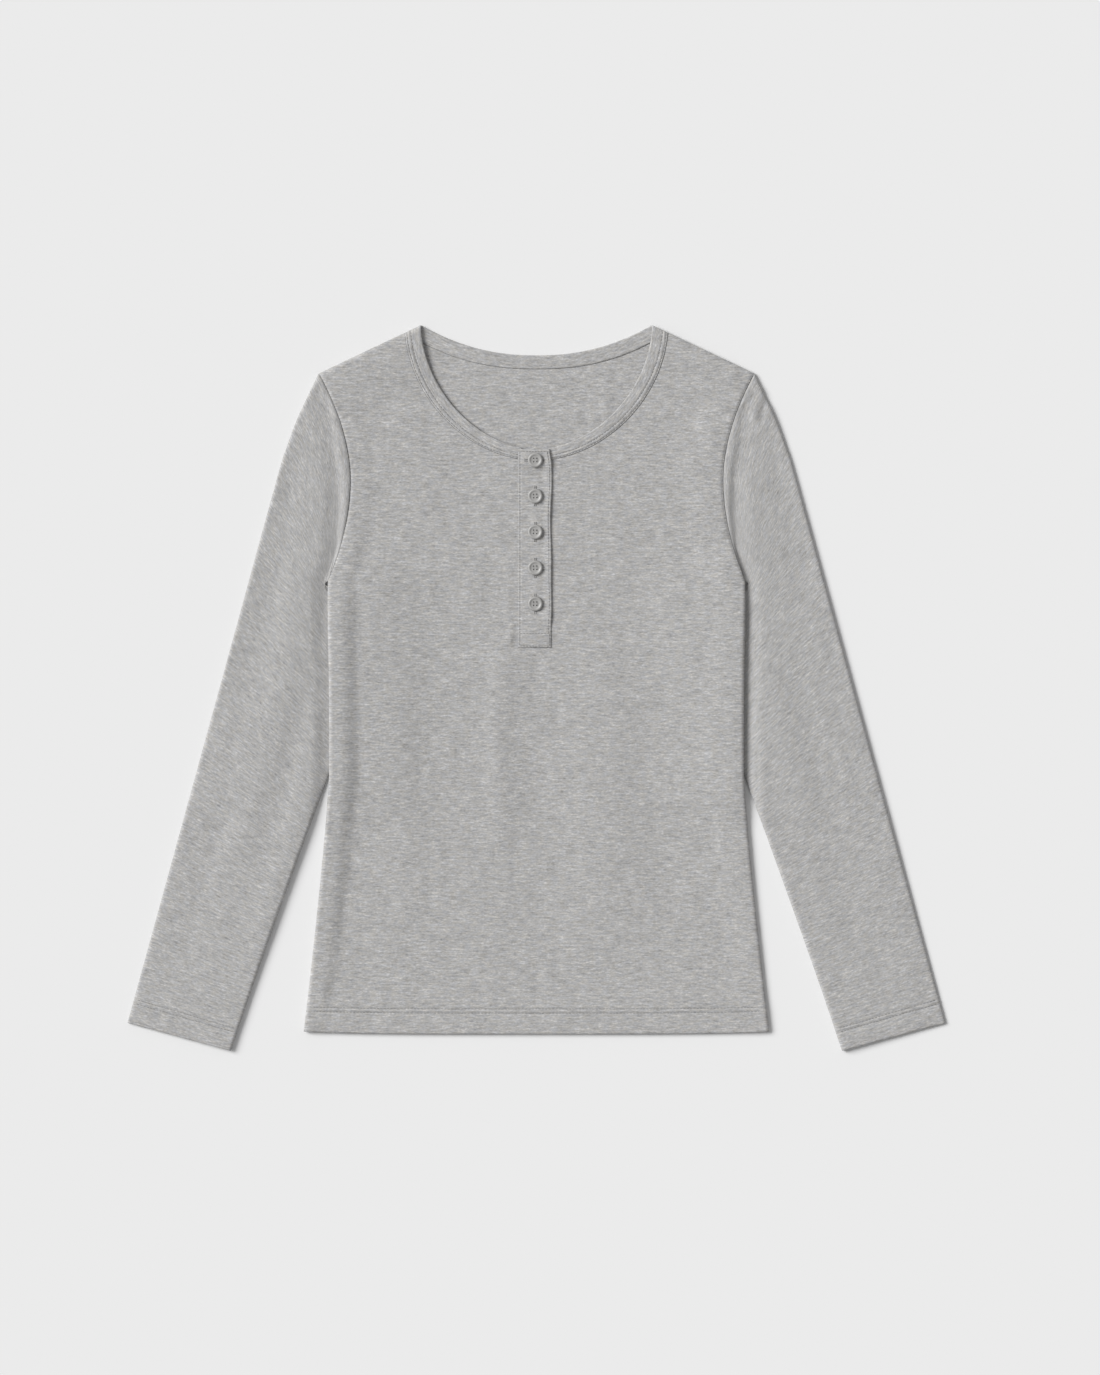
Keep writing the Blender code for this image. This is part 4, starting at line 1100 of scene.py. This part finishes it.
def cuff_stitches(side):
    rows = []
    for above in HEM_NEEDLES:
        t = 1 - above / 585.0
        f = np.linspace(0.035, 0.965, 60)
        plan = sleeve_plan(np.full(60, t), f, FRONT_NARROW)
        height = sleeve_top(plan[:, 0], plan[:, 1], f, side) - 0.3 + 0.05
        pitch = evenly(plan, 2.9)
        z = np.interp(pitch[:, 0], plan[::-1, 0], height[::-1])
        for (a, za), (b, zb) in zip(zip(pitch, z), zip(pitch[1:], z[1:])):
            e = a + (b - a) * 0.8
            rows.append(((a[0] * side, a[1], za), (e[0] * side, e[1], zb)))
    return rows


def band_stitches():
    half = band_half()
    rows = []
    for share in NEEDLES:
        lift = 0.72
        for side in (-1, 1):
            line = []
            for inner, outer in half[3:100]:
                p = inner[0] + (outer[0] - inner[0]) * share
                up = inner[1] + outer[1]
                line.append(p + up / np.linalg.norm(up) * lift)
            line = np.array(line)
            along = np.concatenate([[0], np.cumsum(np.linalg.norm(np.diff(line, axis=0), axis=1))])
            s = np.arange(0, along[-1], 2.9)
            for a in s[:-1]:
                ends = [np.array([np.interp(q, along, line[:, i]) for i in range(3)]) for q in (a, a + 2.3)]
                ends = [e * np.array([side, 1, 1]) for e in ends]
                if side < 0 or ends[0][0] > SLIT_RIGHT + 4:
                    rows.append(tuple(ends))
    return rows


def placket_stitches():
    def on_top(x, y):
        return top_middle(x, y) + TOP_WALL / 2 + top_relief(x, y) + 0.1
    bottom, foot = TOP_LOW[1] + 1.3, BOX_TOP
    left, right = TOP_LOW[0] + 1.6, TOP_HIGH[0] - 2.0
    top = TOP_HIGH[1] - 2.2
    rows = along_curve([(left, top), (left, bottom)], on_top, 2.6, 2.1)
    rows += along_curve([(left, bottom), (right + 0.6, bottom)], on_top, 2.6, 2.1)
    rows += along_curve([(right + 0.6, bottom), (right + 0.6, foot)], on_top, 2.6, 2.1)
    rows += along_curve([(left, foot), (right + 0.6, foot)], on_top, 2.6, 2.1)
    edge = np.array([(right - 0.2 + free_edge(y), y) for y in np.linspace(foot, top, 60)])
    rows += along_curve(edge, on_top, 2.6, 2.1)
    rows += along_curve([(left, top), (right, top)], on_top, 2.6, 2.1)
    return rows


def main():
    make_stage()
    cloth = knit_material("melange_knit")
    rib = knit_material("melange_band")
    thread = knit_material("melange_thread", 0.62, grain=False)
    light_thread = knit_material("melange_button_thread", 0.85, grain=False)
    back = make_back(cloth)
    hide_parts("back_panel")
    front = make_front(cloth)
    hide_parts("front_panel")
    right = make_sleeve("sleeve_right_cloth", 1, cloth)
    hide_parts("sleeve_right")
    left = make_sleeve("sleeve_left_cloth", -1, cloth)
    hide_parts("sleeve_left")
    band = make_band(rib)
    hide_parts("neck_binding")
    upper, lower = make_plackets(cloth)
    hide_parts("placket_top")
    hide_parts("placket_under")
    make_buttons(button_material(), light_thread)
    thread_mesh("hem_stitching", hem_stitches(lambda x, y: front_surfaces(x, y)[0] + 0.02), 0.24, thread)
    thread_mesh("cuff_stitching", cuff_stitches(1) + cuff_stitches(-1), 0.24, thread)
    thread_mesh("neck_stitching", band_stitches(), 0.22, thread)
    thread_mesh("placket_stitching", placket_stitches(), 0.2, thread)


main()
